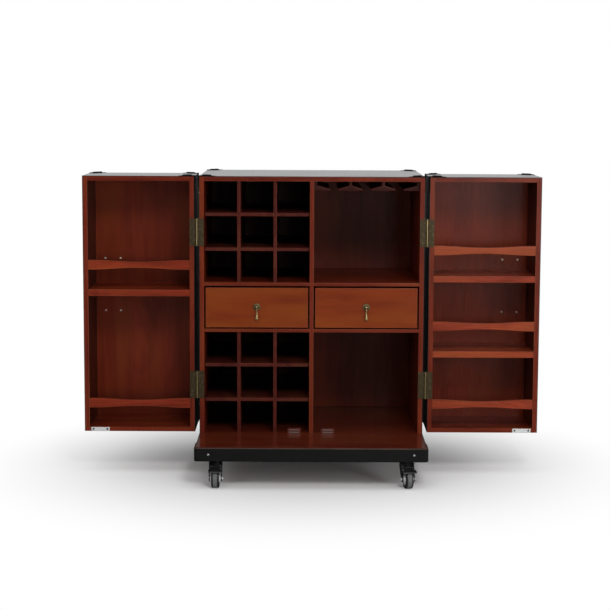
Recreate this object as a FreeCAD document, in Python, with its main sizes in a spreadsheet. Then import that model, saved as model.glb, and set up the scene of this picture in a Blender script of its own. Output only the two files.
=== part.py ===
import FreeCAD, Part
import os
import re
import Sketcher

# Trunk-style bar cabinet on casters, doors open, in millimetres with +Z up and the front towards -Y

# Driving sizes, in millimetres and degrees
SIZES = {
    # carcass box, as bare wood
    "width": 610,
    "height": 703.5,
    "depth": 420,
    "side_board": 12,
    "back_board": 9,
    "partition": 11,
    "thin_board": 9,
    # base under the box, with its black edging and the band round its front
    "base_lead": 10,
    "base_back": 3,
    "base_thick": 37,
    "board_corner": 3,
    "edging": 3,
    "front_band": 3,
    "band_return": 58,
    "band_ramp": 14,
    "band_round": 2.6,
    "nail_radius": 3.2,
    "nail_height": 2,
    "nail_inset": 38,
    # covering and corner guards
    "cover": 1.5,
    "guard": 2.2,
    "guard_leg": 42,
    "guard_tip": 12,
    "guard_room": 0.5,
    "dome_radius": 6,
    "dome_height": 3,
    "dome_near": 12,
    "dome_far": 27,
    "dome_sink": 0.3,
    # drawer row: the lower board's height over the base, and the clear height over that board
    "drawer_board_low": 280,
    "drawer_row": 118,
    # bottle racks, a little behind the rim and short of the walls
    "rack_setback": 8,
    "rack_play": 1.5,
    # stemware rails under the top
    "rail_setback": 20,
    "rail_back_room": 61,
    "rail_pitch": 89,
    "rail_flange": 65,
    "rail_slot": 24,
    "rail_height": 25,
    "rail_edge": 4,
    "rail_shoulder": 13,
    "rail_stem": 8,
    # drawers
    "drawer_gap": 4.25,
    "drawer_gap_low": 3.5,
    "drawer_gap_high": 5,
    "drawer_front": 14,
    "drawer_recess": 1,
    "drawer_back_room": 31,
    "drawer_wall": 9,
    "drawer_bottom": 5,
    "drawer_bottom_lift": 6,
    "drawer_box_room": 22.7,
    "drawer_slip": 0.3,
    "guide_height": 24,
    "guide_start": 30,
    # drop pulls
    "rosette_radius": 10,
    "rosette_thick": 2.5,
    "rosette_rim": 1.2,
    "rosette_lip": 2,
    "post_radius": 2.5,
    "nut_radius": 4.5,
    "nut_thick": 3.5,
    "pull_raise": 2,
    "pull_reach": 8,
    "lug_inner": 2.8,
    "lug_outer": 4.6,
    "lug_radius": 2.6,
    "eye_radius": 3.2,
    "eye_half": 2.5,
    "pull_pin": 1,
    "neck_radius": 1.5,
    "neck_end": 14,
    "bulb_radius": 4.3,
    "bulb_depth": 31.5,
    "bulb_cheek": 64,
    # doors
    "hinge_gap": 15,
    "door_meet": 4.5,
    "door_depth": 192,
    "door_lift": 3.5,
    "door_shelf": 18,
    "shelf_setback": 1,
    "left_shelf": 377.5,
    "right_shelf_high": 418.5,
    "right_shelf_low": 211.5,
    "guard_rail_thick": 10,
    "guard_rail_end": 13.25,
    "guard_rail_mid": 8.25,
    "left_rail_high": 463,
    "right_rail_high": 505.5,
    "right_rail_mid": 298,
    "rail_low": 82,
    # butt hinges
    "hinge_top_inset": 150.5,
    "hinge_low": 134.5,
    "leaf_height": 75,
    "leaf_thick": 1.6,
    "leaf_room": 0.15,
    "knuckle_radius": 3.2,
    "knuckle_gap": 0.3,
    "hinge_pin": 1.6,
    "leaf_screw_end": 12.5,
    "running_fit": 0.05,
    # wood screws
    "screw_head": 3,
    "screw_shank": 1.4,
    "screw_length": 10,
    "screw_slip": 0.02,
    "pilot_room": 1,
    # magnetic catches and their strike plates
    "catch_place": 46,
    "catch_wall": 4.5,
    "catch_back": 4,
    "pole_length": 27,
    "pole_depth": 10,
    "pole_thick": 2,
    "pole_low": 1.5,
    "magnet_height": 5,
    "strike_room": 0.4,
    "strike_length": 50,
    "strike_height": 10.5,
    "strike_thick": 1.2,
    "strike_screw_end": 6,
    # trunk handles on the outside of the doors
    "handle_inset": 59,
    "handle_centre": 390,
    "handle_half": 74.25,
    "strap_width": 28,
    "strap_thick": 5,
    "strap_tail": 12,
    "strap_rise": 25,
    "strap_bend": 24,
    "keeper_wall": 2,
    "keeper_room": 0.4,
    "keeper_edge": 6.75,
    "keeper_length": 26,
    "bolt_edge": 4.85,
    "bolt_radius": 2,
    "bolt_head": 4,
    "bolt_head_height": 2.2,
    "bolt_nut": 3.2,
    "bolt_nut_height": 2.24,
    "bolt_slip": 0.1,
    # casters
    "wheel_radius": 25,
    "wheel_half": 10.5,
    "tread_round": 4,
    "tyre_thick": 7,
    "hub_dish": 2,
    "hub_boss": 10,
    "hub_room": 0.4,
    "caster_side_inset": 55.5,
    "caster_inset": 50,
    "caster_trail": 22,
    "caster_turn": 10,
    "plate_size": 46,
    "plate_thick": 2.5,
    "plate_screw_edge": 6,
    "plate_screw_head": 3.5,
    "plate_screw_shank": 2,
    "plate_screw_length": 16,
    "boss_radius": 13,
    "boss_height": 7,
    "king_pin": 4,
    "king_head": 7,
    "king_head_room": 5.5,
    "king_head_thick": 2.5,
    "crown_gap": 0.4,
    "crown_thick": 7.7,
    "crown_lip": 0.8,
    "fork_room": 4.1,
    "leg_thick": 2.8,
    "leg_front": 18,
    "leg_back": 9,
    "leg_drop": 10.1,
    "leg_end": 8,
    "axle_radius": 3,
    "axle_head": 4.6,
    "axle_head_thick": 3.8,
    "pedal_behind": 8,
    "pedal_ahead": 26,
    "pedal_shoulder": 10,
    "pedal_rise": 4.5,
    "pedal_dip": 3.5,
    "pedal_pin": 1.5,
    "pedal_boss": 3.2,
    "pedal_room": 0.5,
    "pedal_lip": 0.6,
    "pedal_thick": 2.5,
}

# Sizes and places that follow from them
PLACES = {
    # heights of a caster, from the floor up to the base
    "wheel_top": "2 * wheel_radius",
    "king_head_low": "wheel_top + king_head_room",
    "king_head_high": "king_head_low + king_head_thick",
    "crown_low": "king_head_high + crown_gap",
    "crown_high": "crown_low + crown_thick",
    "boss_low": "crown_high + crown_gap",
    "plate_low": "boss_low + boss_height",
    "caster_height": "plate_low + plate_thick",
    "base_top": "caster_height + base_thick",
    # the carcass, from the middle outwards, from its rim backwards and from the base upwards
    "half": "width / 2",
    "inner": "half - side_board",
    "base_front": "door_depth + base_lead",
    "edging_half": "half + cover",
    "base_half": "edging_half + front_band",
    "edging_corner": "board_corner + edging",
    "band_corner": "edging_corner + front_band",
    "nail_place": "base_half - nail_inset",
    "rim": "(base_front + nail_height - depth - guard - dome_height) / 2",
    "bay_back": "depth - back_board",
    "bay_top": "height - side_board",
    "drawer_board_high": "drawer_board_low + thin_board + drawer_row",
    "board_top": "drawer_board_high + thin_board",
    "rail_length": "bay_back - rail_setback - rail_back_room",
    "drawer_length": "bay_back - drawer_back_room",
    "drawer_box_height": "drawer_row - drawer_slip - drawer_box_room",
    # doors and hinges
    "axis_x": "half + hinge_gap / 2",
    "axis_out": "leaf_thick + leaf_room",
    "door_in": "half + hinge_gap",
    "door_out": "door_in + half - door_meet",
    "hinge_high": "height - hinge_top_inset",
    "leaf_screw_pitch": "leaf_height / 2 - leaf_screw_end",
    # catches and strike plates
    "catch_length": "pole_length + 2 * catch_wall",
    "catch_depth": "pole_depth + catch_back",
    "catch_height": "2 * pole_low + 2 * pole_thick + magnet_height",
    "pole_reach": "2 * axis_out - strike_thick - strike_room",
    "strike_screw": "strike_length / 2 - strike_screw_end",
    "strike_place": "width + hinge_gap - catch_place",
    # handles: the strap bends away from its keepers, then sweeps over in one arc
    "handle_place": "door_out - handle_inset",
    "strap_span": "handle_half - keeper_length / 2",
    "strap_sweep": "(strap_span^2 + strap_rise^2) / (2 * strap_rise)",
    "strap_over": "strap_sweep - strap_bend",
    "strap_inner_bend": "strap_bend - strap_thick",
    "strap_room": "strap_width / 2 + keeper_room",
    "bolt_half": "strap_room + keeper_wall + bolt_edge",
    "keeper_half": "bolt_half + keeper_edge",
    # widths and reaches of a caster
    "caster_place": "base_half - caster_side_inset",
    "plate_screw": "plate_size / 2 - plate_screw_edge",
    "leg_inner": "wheel_half + fork_room",
    "leg_outer": "leg_inner + leg_thick",
    "leg_waist": "crown_high - leg_drop",
    "crown_radius": "leg_outer + crown_lip",
    "hub_radius": "wheel_radius - tyre_thick",
    "pedal_pivot_back": "caster_trail - pedal_behind",
    "pedal_pivot_up": "wheel_top + pedal_rise",
    "pedal_wing": "caster_trail + pedal_shoulder",
    "pedal_front": "caster_trail + pedal_ahead",
    "pedal_front_up": "wheel_top - pedal_dip",
    "pedal_half": "leg_inner - pedal_room",
    "pedal_wide": "leg_outer + pedal_lip",
}

DOC = FreeCAD.newDocument("bar_cabinet")
SHEET = DOC.addObject("Spreadsheet::Sheet", "Sizes")
CELLS = {alias: str(value) for alias, value in SIZES.items()}
CELLS.update({alias: f"={formula}" for alias, formula in PLACES.items()})
for row, alias in enumerate(CELLS, start=1):
    SHEET.set(f"A{row}", alias)
    SHEET.setAlias(f"B{row}", alias)
for row, content in enumerate(CELLS.values(), start=1):
    SHEET.set(f"B{row}", content)
DOC.recompute()

WORD = re.compile(r"[A-Za-z_]\w*")
SIDES = {"left": -1, "right": 1}
X_AXIS = FreeCAD.Vector(1, 0, 0)
Y_AXIS = FreeCAD.Vector(0, 1, 0)
Z_AXIS = FreeCAD.Vector(0, 0, 1)
TURN = FreeCAD.Rotation

# Where a primitive's own +Z points
POINTING = {
    "+x": TURN(Y_AXIS, 90),
    "-x": TURN(Y_AXIS, -90),
    "+y": TURN(X_AXIS, -90),
    "-y": TURN(X_AXIS, 90),
    "+z": TURN(),
    "-z": TURN(X_AXIS, 180),
}
# How a flat outline lies: top is X, Y facing up; front is X, Z facing -Y; right is Y, Z facing +X
LYING = {
    "top": TURN(),
    "front": TURN(X_AXIS, 90),
    "right": TURN(Z_AXIS, 90) * TURN(X_AXIS, 90),
    "axle": TURN(Z_AXIS, -90),
}
NODES = []
# How close two places are that count as one
CLOSE = 1e-4


def bind(text):
    """Name the sheet in front of each alias of an expression."""
    return WORD.sub(lambda word: "Sizes." + word[0] if word[0] in CELLS else word[0], text)


def number(text):
    """The value of an expression now."""
    value = SHEET.evalExpression(bind(text))
    return float(getattr(value, "Value", value))


def back(text):
    """A place behind the rim of the carcass, along Y."""
    return f"(rim + {text})"


def up(text):
    """A height over the base, along Z."""
    return f"(base_top + {text})"


def sided(side, text):
    """A place along X, mirrored for the left."""
    return f"{side} * ({text})"


def span(side, low, high):
    """A stretch along X, mirrored for the left."""
    return (f"({low})", f"({high})") if side > 0 else (f"-({high})", f"-({low})")


def place(item, base):
    for axis, text in zip("xyz", base):
        item.setExpression(f"Placement.Base.{axis}", bind(text))
    return item


def box(name, across, along, tall):
    item = DOC.addObject("Part::Box", name)
    for size, (low, high) in zip(("Length", "Width", "Height"), (across, along, tall)):
        item.setExpression(size, bind(f"({high}) - ({low})"))
    return place(item, (across[0], along[0], tall[0]))


def cylinder(name, radius, length, base, pointing):
    item = DOC.addObject("Part::Cylinder", name)
    item.setExpression("Radius", bind(radius))
    item.setExpression("Height", bind(length))
    item.Placement = FreeCAD.Placement(FreeCAD.Vector(), POINTING[pointing])
    return place(item, base)


def cone(name, low_radius, high_radius, length, base, pointing):
    item = DOC.addObject("Part::Cone", name)
    item.setExpression("Radius1", bind(low_radius))
    item.setExpression("Radius2", bind(high_radius))
    item.setExpression("Height", bind(length))
    item.Placement = FreeCAD.Placement(FreeCAD.Vector(), POINTING[pointing])
    return place(item, base)


def dome(name, radius, rise, sink, base, pointing):
    """A round cap on a face, whose rim is sunk a little below the face."""
    ball = f"((({radius})^2 + ({rise})^2) / (2 * ({rise})))"
    item = DOC.addObject("Part::Sphere", name)
    item.setExpression("Radius", bind(ball))
    item.setExpression("Angle1", bind(f"asin(({ball} - ({rise}) - ({sink})) / {ball})"))
    item.Placement = FreeCAD.Placement(FreeCAD.Vector(), POINTING[pointing])
    sign = pointing[0]
    opposite = "-" if sign == "+" else "+"
    shift = {axis: "" for axis in "xyz"}
    shift[pointing[1]] = f" {opposite} ({ball} - ({rise}))"
    return place(item, [f"{text}{shift[axis]}" for axis, text in zip("xyz", base)])


def fused(name, pieces):
    item = DOC.addObject("Part::MultiFuse", name)
    item.Shapes = pieces
    return item


def grouped(name, pieces):
    item = DOC.addObject("Part::Compound", name)
    item.Links = pieces
    return item


def cut(name, blank, tools):
    item = DOC.addObject("Part::Cut", name)
    item.Base = blank
    item.Tool = tools[0] if len(tools) == 1 else grouped(name + "_tools", tools)
    return item


def node(label, pieces):
    """Finish a sub-part: one object, or a group of separate solids."""
    item = pieces[0] if len(pieces) == 1 else grouped(label, pieces)
    item.Label = label
    NODES.append(item)
    return item


def arc(start, stop, radius, turn):
    """The short arc between two points, that turns left or right on its way."""
    side = 1 if turn == "left" else -1
    chord = stop - start
    normal = FreeCAD.Vector(-chord.y, chord.x, 0).normalize()
    offset = max(radius * radius - chord.Length ** 2 / 4, 0) ** 0.5
    centre = (start + stop) * 0.5 + normal * (side * offset)
    return Part.Arc(start, centre - normal * (side * radius), stop)


def draw(sketch, corners):
    """Draw a closed outline; a corner with a radius and a turn starts an arc."""
    spots = [FreeCAD.Vector(number(corner[0]), number(corner[1]), 0) for corner in corners]
    ends = []
    for corner, start, stop in zip(corners, spots, spots[1:] + spots[:1]):
        edge = Part.LineSegment(start, stop)
        if len(corner) > 2:
            edge = arc(start, stop, number(corner[2]), corner[3])
        index = sketch.addGeometry(edge, False)
        head = 1 if sketch.getPoint(index, 1).isEqual(start, CLOSE) else 2
        ends.append((index, head, 3 - head))
    for corner, (index, head, tail), (after, after_head, _) in zip(corners, ends, ends[1:] + ends[:1]):
        sketch.addConstraint(Sketcher.Constraint("Coincident", index, tail, after, after_head))
        for kind, text in (("DistanceX", corner[0]), ("DistanceY", corner[1])):
            place_rule = Sketcher.Constraint(kind, -1, 1, index, head, number(text))
            sketch.setExpression(f"Constraints[{sketch.addConstraint(place_rule)}]", bind(text))
        if len(corner) > 2:
            round_rule = Sketcher.Constraint("Radius", index, number(corner[2]))
            sketch.setExpression(f"Constraints[{sketch.addConstraint(round_rule)}]", bind(corner[2]))


def sketched(name, loops, lying, base):
    """A body at its place, with a sketch of closed outlines on its XY plane."""
    body = DOC.addObject("PartDesign::Body", name)
    body.Placement = FreeCAD.Placement(FreeCAD.Vector(), LYING[lying])
    place(body, base)
    sketch = body.newObject("Sketcher::SketchObject", name + "_outline")
    plane = [item for item in body.Origin.OriginFeatures if item.Role == "XY_Plane"][0]
    sketch.AttachmentSupport = [(plane, "")]
    sketch.MapMode = "FlatFace"
    for corners in loops:
        draw(sketch, corners)
    return body, sketch


def plate(name, loops, thickness, lying, base):
    """A flat outline made as thick as the expression says."""
    body, sketch = sketched(name, loops, lying, base)
    pad = body.newObject("PartDesign::Pad", name + "_pad")
    pad.Profile = sketch
    pad.setExpression("Length", bind(thickness))
    return body


def turned(name, corners, lying, base):
    """A round piece: an outline of radius and height, turned about its own upright axis."""
    body, sketch = sketched(name, [corners], lying, base)
    turn = body.newObject("PartDesign::Revolution", name + "_turn")
    turn.Profile = sketch
    turn.ReferenceAxis = (sketch, ["V_Axis"])
    turn.Angle = 360
    return body


def rectangle(low_x, high_x, low_y, high_y):
    return [(low_x, low_y), (high_x, low_y), (high_x, high_y), (low_x, high_y)]


def screw(name, spot, pointing, head, shank, head_length, length):
    """A countersunk screw whose head face is at the spot, driven the way it points."""
    axis = "xyz".index(pointing[1])
    neck = list(spot)
    neck[axis] = f"{spot[axis]} {pointing[0]} {head_length}"
    top = cone(name + "_head", head, shank, head_length, spot, pointing)
    stem = cylinder(name + "_shank", shank, length, neck, pointing)
    return fused(name, [top, stem])


def countersink(name, spot, pointing, head, shank, head_length):
    """The room that a screw head takes in a plate."""
    return cone(name, f"{head} + screw_slip", f"{shank} + screw_slip", head_length, spot, pointing)


def pilot(name, spot, pointing, shank, length):
    """The hole that a screw shank takes in a board."""
    return cylinder(name, f"{shank} + screw_slip", f"{length} + pilot_room", spot, pointing)


# Base: a board on casters with black edging, and a band round its front corners
def rounded(half, front, rear, radius):
    """A rectangle with round corners, the same to both sides."""
    corners = [
        (f"{radius} - {half}", front), (f"{half} - {radius}", front, radius, "left"),
        (half, f"{front} + {radius}"), (half, f"{rear} - {radius}", radius, "left"),
        (f"{half} - {radius}", rear), (f"{radius} - {half}", rear, radius, "left"),
        (f"-{half}", f"{rear} - {radius}"), (f"-{half}", f"{front} + {radius}", radius, "left"),
    ]
    return corners


def band_outline(front):
    """The band from one ramped end round the front to the other, outside first."""
    outer, inner, r, inner_r = "base_half", "edging_half", "band_corner", "edging_corner"
    straight, end = f"{front} + band_return", f"{front} + band_return + band_ramp"
    corner, face = f"{front} + {r}", f"{front} + front_band"
    return [
        (f"-{inner}", end), (f"-{outer}", straight), (f"-{outer}", corner, r, "left"),
        (f"{r} - {outer}", front), (f"{outer} - {r}", front, r, "left"),
        (outer, corner), (outer, straight), (inner, end), (inner, corner, inner_r, "right"),
        (f"{inner} - {inner_r}", face), (f"{inner_r} - {inner}", face, inner_r, "right"),
        (f"-{inner}", corner),
    ]


def make_base():
    front, rear = back("-base_front"), back("depth + base_back")
    foot = ("0", "0", "caster_height")
    face = f"{front} + front_band"
    outer = rounded("edging_half", face, rear, "edging_corner")
    inner = rounded("(edging_half - edging)", f"{face} + edging", f"{rear} - edging", "board_corner")
    blank = plate("base_blank", [inner], "base_thick", "top", foot)
    holes = []
    for caster, x, y in caster_places():
        for index, (px, py) in enumerate(plate_screw_places(x, y)):
            holes.append(pilot(f"{caster}_pilot_{index}", (px, py, "caster_height"), "+z",
                               "plate_screw_shank", "plate_screw_length"))
    node("base_board", [cut("base_board", blank, holes)])
    edging = plate("base_edging_ring", [outer, inner], "base_thick", "top", foot)
    band = plate("base_front_band", [band_outline(front)], "base_thick", "top", foot)
    DOC.recompute()
    soften_rims(band, number(face))
    node("base_edging", [edging, band])
    nails = []
    for name, side in SIDES.items():
        spot = (sided(side, "nail_place"), front, "caster_height + base_thick / 2")
        nails.append(dome(f"{name}_nail", "nail_radius", "nail_height", "0", spot, "-y"))
    node("base_nails", nails)


def soften_rims(band, face):
    """Round the band's outer edges along its front and round its corners, at its top and underside."""
    pad = band.Tip
    inner, reach = number("edging_half"), number(f"{back('-base_front')} + band_return")
    names = []
    for index, edge in enumerate(pad.Shape.Edges, start=1):
        bounds, middle = edge.BoundBox, edge.CenterOfMass
        outside = middle.y < face - CLOSE or abs(middle.x) > inner + CLOSE
        if bounds.ZLength < CLOSE and bounds.YMin < reach - CLOSE and outside:
            names.append(f"Edge{index}")
    fillet = band.newObject("PartDesign::Fillet", "base_front_band_round")
    fillet.Base = (pad, names)
    fillet.setExpression("Radius", bind("band_round"))
    band.Tip = fillet


# Carcass: sides, top, back, partition and the boards of the drawer row
def make_carcass():
    whole_depth = ("rim", back("depth"))
    bay_depth = ("rim", back("bay_back"))
    for name, side in SIDES.items():
        tall = ("base_top", up("height"))
        blank = box(f"{name}_side_blank", span(side, "inner", "half"), whole_depth, tall)
        spots = leaf_screw_places(sided(side, "half - side_board / 2"))
        holes = [pilot(f"{name}_side_pilot_{i}", spot, "+y", "screw_shank", "screw_length")
                 for i, spot in enumerate(spots)]
        node(f"{name}_side", [cut(f"{name}_side", blank, holes)])
    inside = ("-inner", "inner")
    node("top_board", [box("top_board", inside, whole_depth, (up("bay_top"), up("height")))])
    clear = ("base_top", up("bay_top"))
    node("back_board", [box("back_board", inside, (back("bay_back"), back("depth")), clear)])
    middle = ("-partition / 2", "partition / 2")
    node("centre_partition", [box("centre_partition", middle, bay_depth, clear)])
    boards = []
    for name, side in SIDES.items():
        across = span(side, "partition / 2", "inner")
        for level in ("low", "high"):
            base = up(f"drawer_board_{level}")
            tall = (base, f"{base} + thin_board")
            boards.append(box(f"{name}_drawer_board_{level}", across, bay_depth, tall))
    node("drawer_boards", boards)
    guides = []
    for name, side in SIDES.items():
        width = "drawer_gap - drawer_slip"
        along = (back("guide_start"), back("drawer_length"))
        low = up("drawer_board_low + thin_board")
        tall = (low, f"{low} + guide_height")
        near = span(side, "partition / 2", f"partition / 2 + {width}")
        far = span(side, f"inner - ({width})", "inner")
        guides.append(box(f"{name}_guide_near", near, along, tall))
        guides.append(box(f"{name}_guide_far", far, along, tall))
    node("drawer_guides", guides)


# Bottle racks: two uprights and two shelves each, halved into each other, with even cells
def make_rack(label, low, high):
    cell = "((inner - partition / 2 - 2 * thin_board) / 3)"
    columns = [f"({cell} - inner)", f"(2 * {cell} + thin_board - inner)"]
    cell = f"(({high} - {low} - 2 * thin_board) / 3)"
    levels = [f"({low} + {cell})", f"({low} + 2 * {cell} + thin_board)"]
    stretches = [(left, f"{left} + thin_board") for left in columns]
    storeys = [(up(level), up(f"{level} + thin_board")) for level in levels]
    lap = back("(rack_setback + bay_back) / 2")
    front, rear = back("rack_setback"), back("bay_back")
    whole = (front, rear)
    shelf = ("rack_play - inner", "-partition / 2 - rack_play")
    pieces = []
    for index, across in enumerate(stretches):
        blank = box(f"{label}_upright_blank_{index}", across, whole, (up(low), up(high)))
        slots = [box(f"{label}_upright_slot_{index}_{i}", across, (lap, rear), tall)
                 for i, tall in enumerate(storeys)]
        pieces.append(cut(f"{label}_upright_{index}", blank, slots))
    for index, tall in enumerate(storeys):
        blank = box(f"{label}_shelf_blank_{index}", shelf, whole, tall)
        slots = [box(f"{label}_shelf_slot_{index}_{i}", across, (front, lap), tall)
                 for i, across in enumerate(stretches)]
        pieces.append(cut(f"{label}_shelf_{index}", blank, slots))
    node(label, pieces)


def make_racks():
    make_rack("upper_bottle_rack", "board_top", "bay_top")
    make_rack("lower_bottle_rack", "0", "drawer_board_low")


# Stemware rails: two full rails and two half rails under the top
def make_glass_rails():
    centre = "((partition / 2 + inner) / 2)"
    far_end = back("rail_setback + rail_length")
    pieces = []
    for index, side in enumerate(SIDES.values()):
        middle = f"{centre} + {side} * rail_pitch / 2"
        stem, flange = "rail_stem / 2", "rail_flange / 2"
        right_half = [(flange, "0"), (flange, "rail_edge"), (stem, "rail_shoulder"), (stem, "rail_height")]
        left_half = [(f"-{x}", y) for x, y in reversed(right_half)]
        base = (middle, far_end, up("bay_top - rail_height"))
        pieces.append(plate(f"glass_rail_{index}", [right_half + left_half], "rail_length", "front", base))
    wall_half = "(inner - partition / 2) / 2"
    reach = f"({wall_half} - rail_pitch / 2 - rail_flange / 2 - rail_slot)"
    for index, (wall, side) in enumerate((("partition / 2", 1), ("inner", -1))):
        corners = [("0", "0"), (reach, "0"), (reach, "rail_edge"), ("rail_stem", "rail_shoulder"),
                   ("rail_stem", "rail_height"), ("0", "rail_height")]
        corners = [(sided(side, x), y) for x, y in corners]
        base = (wall, far_end, up("bay_top - rail_height"))
        pieces.append(plate(f"glass_half_rail_{index}", [corners], "rail_length", "front", base))
    node("glass_rails", pieces)


# Drawers: an inset front, a plain box behind it and a drop pull
def make_drawer(name, side):
    label = f"{name}_drawer"
    low, high = "partition / 2 + drawer_gap", "inner - drawer_gap"
    across = span(side, low, high)
    seat = up("drawer_board_low + thin_board")
    face, inside = back("drawer_recess"), back("drawer_recess + drawer_front")
    tall = (f"{seat} + drawer_gap_low", up("drawer_board_high - drawer_gap_high"))
    middle = sided(side, f"({low} + {high}) / 2")
    pull_z = f"({tall[0]} + {tall[1]}) / 2 + pull_raise"
    blank = box(f"{label}_front_blank", across, (face, inside), tall)
    hole = cylinder(f"{label}_post_hole", "post_radius + screw_slip", "drawer_front",
                    (middle, face, pull_z), "+y")
    node(f"{label}_front", [cut(f"{label}_front", blank, [hole])])

    bottom = f"{seat} + drawer_slip"
    rear = back("drawer_length")
    walls = (bottom, f"{bottom} + drawer_box_height")
    inner = span(side, f"{low} + drawer_wall", f"{high} - drawer_wall")
    panel = (f"{bottom} + drawer_bottom_lift", f"{bottom} + drawer_bottom_lift + drawer_bottom")
    node(f"{label}_box", [
        box(f"{label}_near_wall", span(side, low, f"{low} + drawer_wall"), (inside, rear), walls),
        box(f"{label}_far_wall", span(side, f"{high} - drawer_wall", high), (inside, rear), walls),
        box(f"{label}_back_wall", inner, (f"{rear} - drawer_wall", rear), walls),
        box(f"{label}_bottom", inner, (inside, f"{rear} - drawer_wall"), panel),
    ])
    make_pull(label, middle, face, inside, pull_z)


def make_pull(label, x, face, inside, z):
    pivot_y = f"{face} - pull_reach"
    disc = cylinder(f"{label}_disc", "rosette_radius", "rosette_rim", (x, face, z), "-y")
    swell = dome(f"{label}_swell", "rosette_radius - rosette_lip", "rosette_thick - rosette_rim",
                 "rosette_rim / 2", (x, f"{face} - rosette_rim", z), "-y")
    post = cylinder(f"{label}_post", "post_radius", "drawer_front + nut_thick", (x, face, z), "+y")
    pieces = [disc, swell, post]
    for index, side in enumerate(SIDES.values()):
        cheek = span(side, "lug_inner", "lug_outer")
        across = tuple(f"{x} + ({edge})" for edge in cheek)
        pieces.append(box(f"{label}_lug_arm_{index}", across, (pivot_y, f"{face} - rosette_rim / 2"),
                          (f"{z} - lug_radius", f"{z} + lug_radius")))
        pieces.append(cylinder(f"{label}_lug_end_{index}", "lug_radius", "lug_outer - lug_inner",
                               (across[0], pivot_y, z), "+x"))
    pin_base = (f"{x} - lug_outer", pivot_y, z)
    bore = cylinder(f"{label}_pin_bore", "pull_pin", "2 * lug_outer", pin_base, "+x")
    body = cut(f"{label}_rosette_body", fused(f"{label}_rosette_blank", pieces), [bore])
    pin = cylinder(f"{label}_pull_pin", "pull_pin", "2 * lug_outer", pin_base, "+x")
    ring = cylinder(f"{label}_nut_blank", "nut_radius", "nut_thick", (x, inside, z), "+y")
    thread = cylinder(f"{label}_nut_bore", "post_radius", "nut_thick", (x, inside, z), "+y")
    node(f"{label}_rosette", [body, pin, cut(f"{label}_nut", ring, [thread])])

    profile = [
        ("0", "-bulb_depth - bulb_radius", "bulb_radius", "left"),
        ("bulb_radius * sin(bulb_cheek)", "bulb_radius * cos(bulb_cheek) - bulb_depth"),
        ("neck_radius", "-neck_end"), ("neck_radius", "-eye_radius / 2"), ("0", "-eye_radius / 2"),
    ]
    pear = turned(f"{label}_pear", profile, "front", (x, pivot_y, z))
    eye_base = (f"{x} - eye_half", pivot_y, z)
    eye = cylinder(f"{label}_eye", "eye_radius", "2 * eye_half", eye_base, "+x")
    eye_bore = cylinder(f"{label}_eye_bore", "pull_pin + running_fit", "2 * eye_half", eye_base, "+x")
    node(f"{label}_drop", [cut(f"{label}_drop", fused(f"{label}_drop_blank", [pear, eye]), [eye_bore])])


# Doors: half-width boxes with shelves and waisted guard rails
def make_door(name, side, shelves, rails):
    label = f"{name}_door"
    whole = ("rim", back("door_depth"))
    tall = (up("door_lift"), up("height"))
    inner_x = ("door_in + side_board", "door_out - side_board")
    across = span(side, *inner_x)
    spots = leaf_screw_places(sided(side, "door_in + side_board / 2"))
    holes = [pilot(f"{label}_pilot_{i}", spot, "+y", "screw_shank", "screw_length")
             for i, spot in enumerate(spots)]
    blank = box(f"{label}_hinge_side_blank", span(side, "door_in", inner_x[0]), whole, tall)
    node(f"{label}_hinge_side", [cut(f"{label}_hinge_side", blank, holes)])
    node(f"{label}_free_side", [box(f"{label}_free_side", span(side, inner_x[1], "door_out"), whole, tall)])

    top = box(f"{label}_top", across, whole, (up("bay_top"), up("height")))
    foot = box(f"{label}_foot_blank", across, whole, (up("door_lift"), up("door_lift + side_board")))
    holes = [pilot(f"{label}_strike_pilot_{i}", (x, "rim", z), "+y", "screw_shank", "screw_length")
             for i, (x, _, z) in enumerate(strike_screw_places(side))]
    node(f"{label}_ends", [top, cut(f"{label}_foot", foot, holes)])

    clear = (up("door_lift + side_board"), up("bay_top"))
    skin = (back("door_depth - back_board"), back("door_depth"))
    blank = box(f"{label}_panel_blank", across, skin, clear)
    holes = bolt_holes(f"{label}_bolt_hole", bolt_places(side), skin[0], "back_board")
    node(f"{label}_panel", [cut(f"{label}_panel", blank, holes)])

    along = (back("shelf_setback"), skin[0])
    boards = [box(f"{label}_shelf_{i}", across, along, (up(level), up(f"{level} + door_shelf")))
              for i, level in enumerate(shelves)]
    node(f"{label}_shelves", boards)
    node(f"{label}_guard_rails", [guard_rail(f"{label}_rail_{i}", across, level)
                                  for i, level in enumerate(rails)])


def guard_rail(name, across, level):
    """A rail that is deep at both ends and waisted in the middle, with flowing edges."""
    low_x, high_x = across
    half = f"(({high_x}) - ({low_x})) / 2"
    fall = "(guard_rail_end - guard_rail_mid)"
    radius = f"(({half})^2 + {fall}^2) / (4 * {fall})"
    mean = "((guard_rail_end + guard_rail_mid) / 2)"
    quarter, three = f"{low_x} + {half} / 2", f"{high_x} - {half} / 2"
    loop = [
        (low_x, "-guard_rail_end", radius, "left"), (quarter, f"-{mean}", radius, "right"),
        (three, f"-{mean}", radius, "left"), (high_x, "-guard_rail_end"),
        (high_x, "guard_rail_end", radius, "left"), (three, mean, radius, "right"),
        (quarter, mean, radius, "left"), (low_x, "guard_rail_end"),
    ]
    base = ("0", back("shelf_setback + guard_rail_thick"), up(level))
    return plate(name, [loop], "guard_rail_thick", "front", base)


def make_doors():
    make_door("left", -1, ["left_shelf"], ["rail_low", "left_rail_high"])
    make_door("right", 1, ["right_shelf_low", "right_shelf_high"],
              ["rail_low", "right_rail_mid", "right_rail_high"])


# Butt hinges: leaves on the rims, five knuckles round a pin in the gap
def leaf_screw_places(x):
    return [(x, "rim", up(f"{level} + {step} * leaf_screw_pitch"))
            for level in ("hinge_low", "hinge_high") for step in (-1, 0, 1)]


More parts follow.
